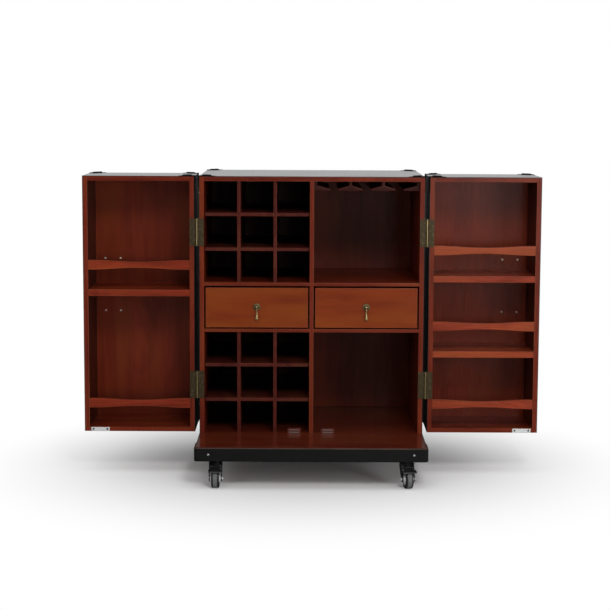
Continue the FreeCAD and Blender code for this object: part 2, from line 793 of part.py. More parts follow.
def make_leaf(label, side, level, root, tip, knuckles, bore):
    """One leaf from its root edge to the knuckles, with countersunk holes."""
    axis_y = "rim - axis_out"
    low = up(f"{level} - leaf_height / 2")
    along = ("rim - leaf_thick", "rim")
    pieces = [box(f"{label}_flag", span(side, *sorted_span(root, tip)), along, (low, f"{low} + leaf_height"))]
    for index in knuckles:
        bottom = f"{low} + {index} * leaf_height / 5 + knuckle_gap / 2"
        length = "leaf_height / 5 - knuckle_gap"
        tab = span(side, *sorted_span(tip, "axis_x"))
        pieces.append(box(f"{label}_tab_{index}", tab, along, (bottom, f"{bottom} + {length}")))
        base = (sided(side, "axis_x"), axis_y, bottom)
        pieces.append(cylinder(f"{label}_knuckle_{index}", "knuckle_radius", length, base, "+z"))
    tools = [cylinder(f"{label}_bore", bore, "leaf_height", (sided(side, "axis_x"), axis_y, low), "+z")]
    middle = sided(side, f"({root} + {rim_edge(root)}) / 2")
    for step in (-1, 0, 1):
        spot = (middle, "rim - leaf_thick", up(f"{level} + {step} * leaf_screw_pitch"))
        tools.append(countersink(f"{label}_sink_{step + 1}", spot, "+y",
                                 "screw_head", "screw_shank", "leaf_thick"))
    return cut(label, fused(f"{label}_blank", pieces), tools)


def sorted_span(first, second):
    return (first, second) if number(first) < number(second) else (second, first)


def rim_edge(root):
    """The outer edge of the rim whose inner edge is the leaf's root."""
    return "half" if root == "inner" else "door_in"


def leaf_screws(label, side, centre):
    spots = [(x, f"{y} - leaf_thick", z) for x, y, z in leaf_screw_places(sided(side, centre))]
    return [screw(f"{label}_screw_{i}", spot, "+y", "screw_head", "screw_shank", "leaf_thick", "screw_length")
            for i, spot in enumerate(spots)]


def make_hinges():
    levels = ("hinge_low", "hinge_high")
    fixed = []
    for name, side in SIDES.items():
        moving = []
        for level in levels:
            tip = "axis_x - knuckle_radius - knuckle_gap"
            label = f"{name}_fixed_{level}"
            fixed.append(make_leaf(label, side, level, "inner", tip, (0, 2, 4), "hinge_pin"))
            root = "(door_in + side_board)"
            tip = "axis_x + knuckle_radius + knuckle_gap"
            label = f"{name}_moving_{level}"
            moving.append(make_leaf(label, side, level, root, tip, (1, 3), "hinge_pin + running_fit"))
            base = (sided(side, "axis_x"), "rim - axis_out", up(f"{level} - leaf_height / 2"))
            fixed.append(cylinder(f"{name}_{level}_pin", "hinge_pin", "leaf_height", base, "+z"))
        fixed += leaf_screws(f"{name}_fixed", side, "half - side_board / 2")
        moving += leaf_screws(f"{name}_moving", side, "door_in + side_board / 2")
        node(f"{name}_door_hinge_leaves", moving)
    node("cabinet_hinge_leaves", fixed)


# Magnetic catches on the base, and the strike plates that they hold
def strike_screw_places(side):
    level = up("door_lift + side_board / 2")
    return [(sided(side, f"strike_place + {step} * strike_screw"), "rim - strike_thick", level)
            for step in (-1, 1)]


def make_catches():
    pieces = []
    for name, side in SIDES.items():
        low, high = "catch_place - catch_length / 2", "catch_place + catch_length / 2"
        pole_x = span(side, "catch_place - pole_length / 2", "catch_place + pole_length / 2")
        pole_y = ("rim - pole_reach", back("pole_depth"))
        magnet_low = up("pole_low + pole_thick")
        magnet_high = f"{magnet_low} + magnet_height"
        room = (up("pole_low"), f"{magnet_high} + pole_thick")
        casing = box(f"{name}_catch_blank", span(side, low, high), ("rim", back("catch_depth")),
                     ("base_top", up("catch_height")))
        pocket = box(f"{name}_catch_pocket", pole_x, ("rim", back("pole_depth")), room)
        pieces.append(cut(f"{name}_catch_casing", casing, [pocket]))
        pieces.append(box(f"{name}_pole_low", pole_x, pole_y, (room[0], magnet_low)))
        pieces.append(box(f"{name}_magnet", pole_x, ("rim", back("pole_depth")), (magnet_low, magnet_high)))
        pieces.append(box(f"{name}_pole_high", pole_x, pole_y, (magnet_high, room[1])))

        spots = strike_screw_places(side)
        across = span(side, "strike_place - strike_length / 2", "strike_place + strike_length / 2")
        level = up("door_lift + side_board / 2")
        tall = (f"{level} - strike_height / 2", f"{level} + strike_height / 2")
        blank = box(f"{name}_strike_blank", across, ("rim - strike_thick", "rim"), tall)
        sizes = ("screw_head", "screw_shank", "strike_thick")
        sinks = [countersink(f"{name}_strike_sink_{i}", spot, "+y", *sizes) for i, spot in enumerate(spots)]
        screws = [screw(f"{name}_strike_screw_{i}", spot, "+y", *sizes, "screw_length")
                  for i, spot in enumerate(spots)]
        node(f"{name}_door_strike_plate", [cut(f"{name}_strike", blank, sinks)] + screws)
    node("magnetic_catches", pieces)


# Trunk handles: a leather strap under two metal keepers, bolted through the door
def bolt_places(side):
    levels = [up(f"handle_centre + {level} * handle_half") for level in (-1, 1)]
    columns = [sided(side, f"handle_place + {across} * bolt_half") for across in (-1, 1)]
    return [(x, z) for z in levels for x in columns]


def bolt_holes(name, places, y, depth):
    return [cylinder(f"{name}_{i}", "bolt_radius + bolt_slip", depth, (x, y, z), "+y")
            for i, (x, z) in enumerate(places)]


def strap_join(bend):
    """Where a face of the strap goes over from its bend into the sweep, outwards and along."""
    out = f"(strap_bend - {bend} * (1 - strap_rise / strap_sweep))"
    return out, f"(strap_span * (1 - {bend} / strap_sweep))"


def make_handle(name, side):
    label = f"{name}_door_handle"
    outside = back("door_depth + cover")
    centre = sided(side, "handle_place")
    end = "(handle_half + strap_tail)"
    upper, under = strap_join("strap_inner_bend"), strap_join("strap_bend")
    loop = [
        ("0", f"-{end}"), ("strap_thick", f"-{end}"),
        ("strap_thick", "-strap_span", "strap_inner_bend", "right"),
        (upper[0], f"-{upper[1]}", "strap_over + strap_thick", "left"),
        (*upper, "strap_inner_bend", "right"),
        ("strap_thick", "strap_span"), ("strap_thick", end), ("0", end),
        ("0", "strap_span", "strap_bend", "left"),
        (*under, "strap_over", "right"),
        (under[0], f"-{under[1]}", "strap_bend", "left"),
        ("0", "-strap_span"),
    ]
    base = (f"{centre} - strap_width / 2", outside, up("handle_centre"))
    node(label, [plate(label, [loop], "strap_width", "right", base)])

    wall = "keeper_wall"
    room = "(strap_thick + keeper_room)"
    right_half = [("keeper_half", wall), ("keeper_half", "0"), ("strap_room", "0"), ("strap_room", room)]
    left_half = [(f"-{x}", y) for x, y in reversed(right_half)]
    shoulder = f"(strap_room + {wall})"
    crown = f"({room} + {wall})"
    bridge = [(f"-{shoulder}", wall), (f"-{shoulder}", crown), (shoulder, crown), (shoulder, wall)]
    loop = right_half + left_half + bridge
    pieces = []
    for index, level in enumerate((-1, 1)):
        base = (centre, outside, up(f"handle_centre + {level} * handle_half - keeper_length / 2"))
        blank = plate(f"{label}_keeper_blank_{index}", [loop], "keeper_length", "top", base)
        spots = bolt_places(side)[2 * index:2 * index + 2]
        holes = bolt_holes(f"{label}_keeper_hole_{index}", spots, outside, wall)
        pieces.append(cut(f"{label}_keeper_{index}", blank, holes))
    inside = back("door_depth - back_board")
    for index, (x, z) in enumerate(bolt_places(side)):
        shank_length = "keeper_wall + cover + back_board"
        shank = cylinder(f"{label}_shank_{index}", "bolt_radius", shank_length, (x, inside, z), "+y")
        head = dome(f"{label}_bolt_head_{index}", "bolt_head", "bolt_head_height", "0",
                    (x, f"{outside} + keeper_wall", z), "+y")
        cap = dome(f"{label}_cap_nut_{index}", "bolt_nut", "bolt_nut_height", "0", (x, inside, z), "-y")
        pieces.append(fused(f"{label}_bolt_{index}", [shank, head, cap]))
    node(f"{name}_door_handle_keepers", pieces)


# Corner guards: folded plates over the box corners, with domed bumps on the outer ones
def guard_flange(name, corner, inward, normal, lips):
    """One five-sided flange on the face across the named axis; lips cover the neighbours' edges."""
    first, second = [axis for axis in "xyz" if axis != normal]
    lip = {axis: "-guard" if axis in lips else "0" for axis in (first, second)}
    points = [
        (lip[first], lip[second]), ("guard_leg", lip[second]), ("guard_leg", "guard_tip"),
        ("guard_tip", "guard_leg"), (lip[first], "guard_leg"),
    ]
    loop = [(sided(inward[first], u), sided(inward[second], v)) for u, v in points]
    base = dict(zip("xyz", corner))
    lying = {"x": "right", "y": "front", "z": "top"}[normal]
    grows = {"x": 1, "y": -1, "z": 1}[normal]
    if -inward[normal] != grows:
        base[normal] = f"{base[normal]} {'-' if grows > 0 else '+'} guard"
    return plate(name, [loop], "guard", lying, [base[axis] for axis in "xyz"])


def make_guard(name, corner, inward, flanges, domed):
    """A guard on one corner: inward is the way into the box along each axis."""
    lips = {"z": [axis for axis in "xy" if axis in flanges], "x": ["y"] if "y" in flanges else [], "y": []}
    pieces = [guard_flange(f"{name}_{axis}", corner, inward, axis, lips[axis]) for axis in flanges]
    for normal in domed:
        first, second = [axis for axis in "xyz" if axis != normal]
        pointing = ("-" if inward[normal] > 0 else "+") + normal
        for index, (u, v) in enumerate((("dome_near", "dome_far"), ("dome_far", "dome_near"))):
            spot = dict(zip("xyz", corner))
            spot[first] = f"{spot[first]} + {inward[first]} * {u}"
            spot[second] = f"{spot[second]} + {inward[second]} * {v}"
            spot[normal] = f"{spot[normal]} {pointing[0]} guard"
            pieces.append(dome(f"{name}_dome_{normal}_{index}", "dome_radius", "dome_height", "dome_sink",
                               [spot[axis] for axis in "xyz"], pointing))
    return fused(name, pieces)


def make_guards():
    carcass = []
    for name, side in SIDES.items():
        x = sided(side, "half")
        inward = {"x": -side, "y": -1, "z": -1}
        top = up("height")
        carcass.append(make_guard(f"{name}_rear_guard", (x, back("depth"), top), inward, "xyz", "xyz"))
        inward = {"x": -side, "y": 1, "z": -1}
        carcass.append(make_guard(f"{name}_front_guard", (x, "rim", top), inward, "xz", ""))

        pieces = []
        rear, foot = back("door_depth"), up("door_lift")
        for edge, x, way in (("hinge", "door_in", side), ("free", "door_out", -side)):
            x = sided(side, x)
            inward = {"x": way, "y": -1, "z": -1}
            pieces.append(make_guard(f"{name}_{edge}_top_guard", (x, rear, top), inward, "xyz", "yz"))
            inward = {"x": way, "y": -1, "z": 1}
            pieces.append(make_guard(f"{name}_{edge}_foot_guard", (x, rear, foot), inward, "xyz", "y"))
        inward = {"x": side, "y": 1, "z": -1}
        corner = (sided(side, "door_in"), "rim", top)
        pieces.append(make_guard(f"{name}_hinge_front_guard", corner, inward, "xz", ""))
        node(f"{name}_door_corner_guards", pieces)
    node("cabinet_corner_guards", carcass)


# Covering: thin black sheets on the outer faces, trimmed round the guards
def trimmed(low_x, high_x, low_y, high_y, notched):
    """A rectangle with room for a guard at each named corner: two letters, l or h along each axis."""
    leg, tip = "(guard_leg + cover + guard_room)", "(guard_tip + cover + guard_room)"
    loop = []
    for key in ("ll", "hl", "hh", "lh"):
        x, sx = (low_x, "+") if key[0] == "l" else (high_x, "-")
        y, sy = (low_y, "+") if key[1] == "l" else (high_y, "-")
        if key not in notched:
            loop.append((x, y))
            continue
        points = [(x, f"{y} {sy} {leg}"), (f"{x} {sx} {tip}", f"{y} {sy} {leg}"),
                  (f"{x} {sx} {leg}", f"{y} {sy} {tip}"), (f"{x} {sx} {leg}", y)]
        loop += points if key in ("ll", "hh") else points[::-1]
    return [loop]


def make_carcass_covering():
    deep = back("depth + cover")
    wide = ("-(half + cover)", "half + cover")
    loop = trimmed(*wide, "rim", deep, ("ll", "hl", "hh", "lh"))
    sheets = [plate("cover_top", loop, "cover", "top", ("0", "0", up("height")))]
    for name, side in SIDES.items():
        base_x = "half" if side > 0 else "-(half + cover)"
        loop = trimmed("rim", deep, "base_top", up("height"), ("lh", "hh"))
        sheets.append(plate(f"cover_{name}", loop, "cover", "right", (base_x, "0", "0")))
    loop = trimmed("-half", "half", "base_top", up("height"), ("lh", "hh"))
    sheets.append(plate("cover_back", loop, "cover", "front", ("0", deep, "0")))
    node("cabinet_covering", sheets)


def make_door_covering(name, side):
    label = f"{name}_door_cover"
    deep = back("door_depth + cover")
    low, high = up("door_lift"), up("height")
    low_x, high_x = span(side, "door_in - cover", "door_out + cover")
    hinge = "l" if side > 0 else "h"
    loop = trimmed(low_x, high_x, "rim", deep, (hinge + "l", "lh", "hh"))
    sheets = [plate(f"{label}_top", loop, "cover", "top", ("0", "0", high))]
    sides = (("hinge", "door_in - cover", ("lh", "hl", "hh")), ("free", "door_out", ("hl", "hh")))
    for edge, x, notched in sides:
        base_x = span(side, x, f"{x} + cover")[0]
        loop = trimmed("rim", deep, low, high, notched)
        sheets.append(plate(f"{label}_{edge}", loop, "cover", "right", (base_x, "0", "0")))
    low_x, high_x = span(side, "door_in", "door_out")
    outer = trimmed(low_x, high_x, low, high, ("ll", "hl", "hh", "lh"))
    blank = plate(f"{label}_panel_blank", outer, "cover", "front", ("0", deep, "0"))
    holes = bolt_holes(f"{label}_hole", bolt_places(side), back("door_depth"), "cover")
    sheets.append(cut(f"{label}_panel", blank, holes))
    node(f"{name}_door_covering", sheets)


# Casters: a screwed plate with a king pin, a trailing fork, a wheel and, in front, a brake pedal
def caster_places():
    front, rear = back("caster_inset - base_front"), back("depth + base_back - caster_inset")
    places = []
    for row, y in (("front", front), ("rear", rear)):
        places += [(f"{row}_{name}", sided(side, "caster_place"), y) for name, side in SIDES.items()]
    return places


def plate_screw_places(x, y):
    return [(f"{x} + {across} * plate_screw", f"{y} + {along} * plate_screw")
            for across in (-1, 1) for along in (-1, 1)]


def make_caster_plates():
    pieces = []
    for caster, x, y in caster_places():
        across = (f"{x} - plate_size / 2", f"{x} + plate_size / 2")
        along = (f"{y} - plate_size / 2", f"{y} + plate_size / 2")
        flat = box(f"{caster}_plate_flat", across, along, ("plate_low", "caster_height"))
        round_parts = [("boss", "boss_radius", "boss_low", "plate_low"),
                       ("king_pin", "king_pin", "king_head_high", "boss_low"),
                       ("king_head", "king_head", "king_head_low", "king_head_high")]
        parts = [cylinder(f"{caster}_{part}", radius, f"{high} - {low}", (x, y, low), "+z")
                 for part, radius, low, high in round_parts]
        spots = [(px, py, "plate_low") for px, py in plate_screw_places(x, y)]
        sizes = ("plate_screw_head", "plate_screw_shank", "plate_thick")
        sinks = [countersink(f"{caster}_sink_{i}", spot, "+z", *sizes) for i, spot in enumerate(spots)]
        pieces.append(cut(f"{caster}_plate", fused(f"{caster}_plate_blank", [flat] + parts), sinks))
        pieces += [screw(f"{caster}_screw_{i}", spot, "+z", *sizes, "plate_screw_length")
                   for i, spot in enumerate(spots)]
    node("caster_plates", pieces)


def turn_caster(item, x, y, turn):
    """Move a caster piece from its own axis to its place, turned about that axis."""
    item.Placement = FreeCAD.Placement(FreeCAD.Vector(), TURN(Z_AXIS, number(turn)))
    item.setExpression("Placement.Rotation.Angle", bind(turn))
    return place(item, (x, y, "0"))


def make_fork(caster, x, y, turn, brake):
    name = f"{caster}_fork"
    crown = cylinder(f"{name}_crown", "crown_radius", "crown_high - crown_low", ("0", "0", "crown_low"), "+z")
    trail, axle_z = "-caster_trail", "wheel_radius"
    leg = [
        ("-leg_front", "crown_high"), ("-leg_front", "leg_waist"),
        (f"{trail} - leg_end", axle_z, "leg_end", "left"), (trail, f"{axle_z} - leg_end", "leg_end", "left"),
        (f"{trail} + leg_end", axle_z), ("leg_back", "leg_waist"), ("leg_back", "crown_high"),
    ]
    pieces = [crown]
    for index, side in enumerate(SIDES.values()):
        base_x = span(side, "leg_inner", "leg_outer")[0]
        pieces.append(plate(f"{name}_leg_{index}", [leg], "leg_thick", "right", (base_x, "0", "0")))
    whole = "2 * leg_outer"
    axle_base = ("-leg_outer", trail, axle_z)
    tools = [
        cylinder(f"{name}_king_bore", "king_pin + running_fit", "crown_high", ("0", "0", "0"), "+z"),
        cylinder(f"{name}_axle_bore", "axle_radius", whole, axle_base, "+x"),
    ]
    shank = cylinder(f"{name}_axle_shank", "axle_radius", whole, axle_base, "+x")
    heads = [dome(f"{name}_axle_head_{index}", "axle_head", "axle_head_thick", "0",
                  (sided(side, "leg_outer"), trail, axle_z), "+x" if side > 0 else "-x")
             for index, side in enumerate(SIDES.values())]
    solids = [fused(f"{name}_axle", [shank] + heads)]
    if brake:
        pin_base = ("-leg_outer", "-pedal_pivot_back", "pedal_pivot_up")
        tools.append(cylinder(f"{name}_pedal_bore", "pedal_pin", whole, pin_base, "+x"))
        solids.append(cylinder(f"{name}_pedal_pin", "pedal_pin", whole, pin_base, "+x"))
    solids.insert(0, cut(f"{name}_yoke", fused(f"{name}_blank", pieces), tools))
    turn_caster(node(name, solids), x, y, turn)


def make_wheel(caster, x, y, turn):
    name = f"{caster}_wheel"
    base = ("0", "-caster_trail", "wheel_radius")
    half, r = "wheel_half", "tread_round"
    tread = [
        ("hub_radius", f"-{half}"), (f"wheel_radius - {r}", f"-{half}", r, "left"),
        ("wheel_radius", f"{r} - {half}"), ("wheel_radius", f"{half} - {r}", r, "left"),
        (f"wheel_radius - {r}", half), ("hub_radius", half),
    ]
    bore = "axle_radius + running_fit"
    boss = "(leg_inner - hub_room)"
    web = f"({half} - hub_dish)"
    hub = [
        (bore, f"-{boss}"), ("hub_boss", f"-{boss}"), ("hub_boss", f"-{web}"), ("hub_radius", f"-{web}"),
        ("hub_radius", web), ("hub_boss", web), ("hub_boss", boss), (bore, boss),
    ]
    solids = [turned(f"{name}_tyre", tread, "axle", base), turned(f"{name}_hub", hub, "axle", base)]
    turn_caster(node(name, solids), x, y, turn)


def make_pedal(caster, x, y, turn):
    name = f"{caster}_pedal"
    pivot_y, pivot_z = "-pedal_pivot_back", "pedal_pivot_up"
    boss_base = ("-pedal_half", pivot_y, pivot_z)
    boss = cylinder(f"{name}_boss", "pedal_boss", "2 * pedal_half", boss_base, "+x")
    slope = f"(({pivot_z} - pedal_front_up) / (pedal_front - pedal_pivot_back))"
    wing_up = f"({pivot_z} - {slope} * (pedal_wing - pedal_pivot_back))"
    levels = ((pivot_y, pivot_z), ("-pedal_wing", wing_up), ("-pedal_front", "pedal_front_up"))
    root, shoulder, tip = [[(y, f"{z} - pedal_thick / 2"), (y, f"{z} + pedal_thick / 2")] for y, z in levels]
    arm = root + shoulder[::-1]
    tread = shoulder + tip[::-1]
    pieces = [
        boss,
        plate(f"{name}_arm", [arm], "2 * pedal_half", "right", ("-pedal_half", "0", "0")),
        plate(f"{name}_tread", [tread], "2 * pedal_wide", "right", ("-pedal_wide", "0", "0")),
    ]
    bore = cylinder(f"{name}_bore", "pedal_pin + running_fit", "2 * pedal_half", boss_base, "+x")
    turn_caster(node(name, [cut(f"{name}_lever", fused(f"{name}_blank", pieces), [bore])]), x, y, turn)


def make_casters():
    make_caster_plates()
    for caster, x, y in caster_places():
        turn = "caster_turn" if caster == "front_right" else "0"
        brake = caster.startswith("front")
        make_fork(caster, x, y, turn, brake)
        make_wheel(caster, x, y, turn)
        if brake:
            make_pedal(caster, x, y, turn)


def write_parts():
    DOC.recompute()
    failed = [item.Label for item in DOC.Objects if {"Invalid", "Error"} & set(item.State)]
    failed += [item.Label for item in NODES if item.Shape.isNull() or not item.Shape.isValid()]
    if failed:
        raise RuntimeError(f"these objects failed: {failed}")
    os.makedirs("parts", exist_ok=True)
    for item in NODES:
        item.Shape.exportStep(f"parts/{item.Label}.step")


make_base()
make_carcass()
make_racks()
make_glass_rails()
make_doors()
make_hinges()
make_catches()
make_guards()
make_carcass_covering()
for door, way in SIDES.items():
    make_drawer(door, way)
    make_handle(door, way)
    make_door_covering(door, way)
make_casters()
write_parts()
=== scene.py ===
import bpy
import bmesh
import math
from mathutils import Matrix, Vector


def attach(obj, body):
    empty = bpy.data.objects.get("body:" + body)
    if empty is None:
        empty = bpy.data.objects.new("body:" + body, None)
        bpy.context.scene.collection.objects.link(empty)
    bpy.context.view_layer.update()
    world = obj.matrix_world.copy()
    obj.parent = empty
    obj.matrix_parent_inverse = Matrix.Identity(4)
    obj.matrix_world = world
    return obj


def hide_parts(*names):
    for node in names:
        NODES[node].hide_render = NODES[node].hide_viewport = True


# Trunk-style wine cabinet on casters, in metres, dressed over its CAD frame

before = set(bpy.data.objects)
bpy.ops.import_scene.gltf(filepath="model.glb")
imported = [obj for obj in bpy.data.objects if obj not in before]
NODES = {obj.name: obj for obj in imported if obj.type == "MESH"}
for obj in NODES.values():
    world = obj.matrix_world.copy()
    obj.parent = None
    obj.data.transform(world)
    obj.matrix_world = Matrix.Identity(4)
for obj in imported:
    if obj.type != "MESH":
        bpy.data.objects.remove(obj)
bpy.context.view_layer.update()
SIDES = {"left": -1, "right": 1}
VERT = bmesh.types.BMVert
FACE = bmesh.types.BMFace

# Edges of the box and of the open doors
RIM = -0.1106
CABINET_FLOOR = 0.113
CABINET_HALF = 0.305
CABINET_BACK = 0.3094
DOOR_IN = 0.32
DOOR_OUT = 0.6205
DOOR_BACK = 0.0814
DOOR_SKIN = 0.0829

# Hinges
LEAF_FACE = RIM - 0.0016
HINGE_LEVELS = (0.2475, 0.666)
HINGE_AXIS_X = 0.3125
KNUCKLE = 0.0034
KNUCKLE_HIGHLIGHT = 0.0012
FIXED_SCREW_X = 0.299
MOVING_SCREW_X = 0.326
LEAF_SCREW_PITCH = 0.025
LEAF_SCREW = 0.0029

# Catches on the base, and their strike plates on the doors
POLE_LAYERS = ((0.0015, 0.0036), (0.0084, 0.0106))
POLE_FRONT = RIM - 0.0003
STRIKE_X = 0.579
STRIKE_LEVEL = 0.1225
STRIKE_FACE = RIM - 0.0012
STRIKE_SCREW_X = 0.019
STRIKE_SCREW = 0.0028

# Slotted screw heads, low enough to clear the heads on a closing leaf
HEAD_SEGMENTS = 24
HEAD_RISE = 0.00012
HEAD_TAPER = 0.86
SLOT_SHARE = 0.16
SLOT_DEPTH = 0.00009
FIRST_TILT = 0.3
TILT_STEP = 0.7

# Drawer pulls
DRAWER_FACE = RIM + 0.001
PULL_X = 0.14925
PULL_LEVEL = 0.46225
ROSETTE_THICK = 0.0012
BEADS = 24
BEAD = 0.00105
BEAD_RING = 0.0089
WIRE = 0.0007
WIRE_RING = 0.0066
WIRE_PROUD = 0.0004

# Door handles: a strap that bows out between two keepers, with small bends at both ends of the bow
HANDLE_X = 0.5615
HANDLE_LEVEL = 0.503
CAP_NUT_BACK = 0.0725
STRAP_WIDTH = 0.028
STRAP_THICK = 0.005
STRAP_ROUND = 0.0016
STRAP_END = 0.08625
STRAP_SPAN = 0.06125
STRAP_RISE = 0.025
STRAP_BEND = 0.024
STRAP_SWEEP = (STRAP_SPAN ** 2 + STRAP_RISE ** 2) / (2 * STRAP_RISE)
STRAP_OVER = STRAP_SWEEP - STRAP_BEND
STRAP_SLOPE = math.asin(STRAP_SPAN / STRAP_SWEEP)
TAIL_STEPS = 4
BEND_STEPS = 8
BOW_STEPS = 28
STITCH = (0.00045, 0.0004, 0.0017)
STITCH_ROW = 0.0113
STITCH_PITCH = 0.0046
STITCH_MARGIN = 0.003

# Ribs on the upper corner guards
GUARD_TOP = 0.8185
RIB_INSET = 0.0195
RIB_HALF = 0.0052
RIB_REACH = 0.0106
RIB_RISE = 0.003
RIB_ROUND = 0.0019
RIB_SEGMENTS = 24

# Casters: where the king pins stand, and how far a wheel trails behind its pin
CASTER_X = 0.254
PIN_Y = {"front": -0.2626, "rear": 0.2624}
TRAIL = 0.022
AXLE_LEVEL = 0.025
FRONT_RIGHT_TURN = math.radians(10)
FORK_FACE = 0.01745
AXLE_CAP = 0.0047
HUB = 0.0179
TREAD_REACH = 0.0246


class Value:
    """A number that varies over a surface: sums and products of it add Math nodes."""

    def __init__(self, shader, socket):
        self.shader = shader
        self.socket = socket

    def maths(self, operation, first, second):
        return self.shader.node("ShaderNodeMath", {"operation": operation}, {0: first, 1: second})

    def __add__(self, other):
        return self.maths("ADD", self, other)

    def __sub__(self, other):
        return self.maths("SUBTRACT", self, other)

    def __rsub__(self, other):
        return self.maths("SUBTRACT", other, self)

    def __mul__(self, other):
        return self.maths("MULTIPLY", self, other)

    __radd__ = __add__
    __rmul__ = __mul__

    def sine(self):
        return self.maths("SINE", self, 0.0)

    def most(self, other):
        return self.maths("MAXIMUM", self, other)

    def between(self, low, high):
        """0 under the low mark, 1 over the high one, smooth between them."""
        settings = {"interpolation_type": "SMOOTHSTEP"}
        return self.shader.node("ShaderNodeMapRange", settings, {0: self, 1: low, 2: high})


class Shader:
    """A node tree of a material or of the world."""

    def __init__(self, owner):
        owner.use_nodes = True
        self.tree = owner.node_tree
        self.tree.nodes.clear()

    def node(self, kind, settings=None, inputs=None, output=0):
        """Add a node: its settings first, then the values or links of its sockets."""
        item = self.tree.nodes.new(kind)
        for name, value in (settings or {}).items():
            setattr(item, name, value)
        for key, value in (inputs or {}).items():
            if isinstance(value, Value):
                self.tree.links.new(value.socket, item.inputs[key])
            else:
                item.inputs[key].default_value = value
        return Value(self, item.outputs[output]) if item.outputs else item

    def place(self, stretch=(1, 1, 1), shift=(0, 0, 0)):
        """Points of the piece, stretched and shifted."""
        where = self.node("ShaderNodeTexCoord", output=3)
        return self.node("ShaderNodeMapping", {"vector_type": "POINT"}, {0: where, 1: shift, 3: stretch})

    def level(self):
        """How high a spot of the piece is."""
        return self.node("ShaderNodeSeparateXYZ", None, {0: self.place()}, 2)

    def noise(self, where, scale, detail=4.0, roughness=0.55, distortion=0.0):
        inputs = {"Vector": where, "Scale": scale, "Detail": detail}
        inputs.update({"Roughness": roughness, "Distortion": distortion})
        return self.node("ShaderNodeTexNoise", None, inputs)

    def cells(self, where, scale, feature="F1"):
        return self.node("ShaderNodeTexVoronoi", {"feature": feature}, {"Vector": where, "Scale": scale})

    def blend(self, share, first, second):
        """A colour between two others."""
        first, second = [c if isinstance(c, Value) else (*c, 1.0) for c in (first, second)]
        return self.node("ShaderNodeMix", {"data_type": "RGBA"}, {0: share, 6: first, 7: second}, 2)

    def bump(self, height, strength, depth):
        inputs = {"Strength": strength, "Distance": depth, "Height": height}
        return self.node("ShaderNodeBump", None, inputs)


def finish(name, fill, over=None, **steady):
    """A material: fill gives what varies over the surface, steady the sockets that don't."""
    material = bpy.data.materials.new(name)
    shader = Shader(material)
    sockets = {key.replace("_", " "): value for key, value in steady.items()}
    sockets.update(fill(shader))
    surface = shader.node("ShaderNodeBsdfPrincipled", None, sockets)
    if over:
        surface = over(shader, surface)
    shader.node("ShaderNodeOutputMaterial", None, {0: surface})
    return material


# Wood whose grain runs along x, y or z: how close its streaks, pores and waves lie along each axis
GRAIN = {
    "x": ((3.5, 46, 46), (14, 420, 420), (1.5, 7, 7)),
    "y": ((46, 3.5, 46), (420, 14, 420), (7, 1.5, 7)),
    "z": ((46, 46, 3.5), (420, 420, 14), (7, 7, 1.5)),
}

# Stains, each from its dark to its pale tone; some carry painted light or shade, as noted
MAHOGANY = ((0.0655, 0.0066, 0.0026), (0.161, 0.0188, 0.0064))
VENEER = ((0.106, 0.0116, 0.0037), (0.181, 0.0232, 0.007))
BACKING = ((0.088, 0.0105, 0.0037), (0.15, 0.021, 0.007))
DUSKY = ((0.0363, 0.0063, 0.0044), (0.081, 0.0133, 0.009))
# Painted shade: the glass rails' wood, darkened for the shade they stand in
SHADED = ((0.018, 0.0033, 0.0026), (0.04, 0.0072, 0.0054))
DEEP = ((0.057, 0.008, 0.004), (0.124, 0.0192, 0.0082))
DRAWER = ((0.121, 0.0162, 0.0021), (0.194, 0.029, 0.0041))
RAIL = ((0.095, 0.0096, 0.0033), (0.229, 0.0265, 0.0085))
# Painted light: a lit copy of the rail stain for the right door's rails and shelves
LIT_RAIL = ((0.114, 0.0135, 0.005), (0.274, 0.0385, 0.0135))
# Painted shade: a darker copy of the wood for the free sides' inner faces
INNER_SHADE = ((0.019, 0.0026, 0.0013), (0.047, 0.0068, 0.003))
# Paler wood for eased edges: wear, and a painted highlight along every eased edge
EDGE_WEAR_AND_HIGHLIGHT = ((0.117, 0.021, 0.0095), (0.197, 0.043, 0.018))

# Polishes: roughness and specular level
PLAIN_POLISH = (0.29, 0.18)
BASE_POLISH = (0.16, 0.32)
RIGHT_DOOR_POLISH = (0.25, 0.26)
EDGE_POLISH = (0.3, 0.18)
DIM_EDGE_POLISH = (0.34, 0.18)

# How strongly the waves of the grain show, how open the pores of the veneer are, and eased edges
FIGURE = 0.1
RAIL_FIGURE = 0.12
BACK_FIGURE = 0.16
EDGE_FIGURE = 0.05
VENEER_PORES = 0.4
EASED = 0.0009

# Painted shade on the door panels behind their guard rails, where the rails shade them: from, to and how
# much
SHADED_TRAY_BAYS = {
    "left_door_panel": ((0.117, 0.195, 0.5), (0.5085, 0.576, 0.5)),
    "right_door_panel": ((0.117, 0.195, 0.3), (0.3425, 0.411, 0.3), (0.5495, 0.6185, 0.3)),
}
BAY_FOOT = 0.004
BAY_UNDER = 0.03
BAY_OVER = 0.02
BAY_SHADE_DARKNESS = 0.3


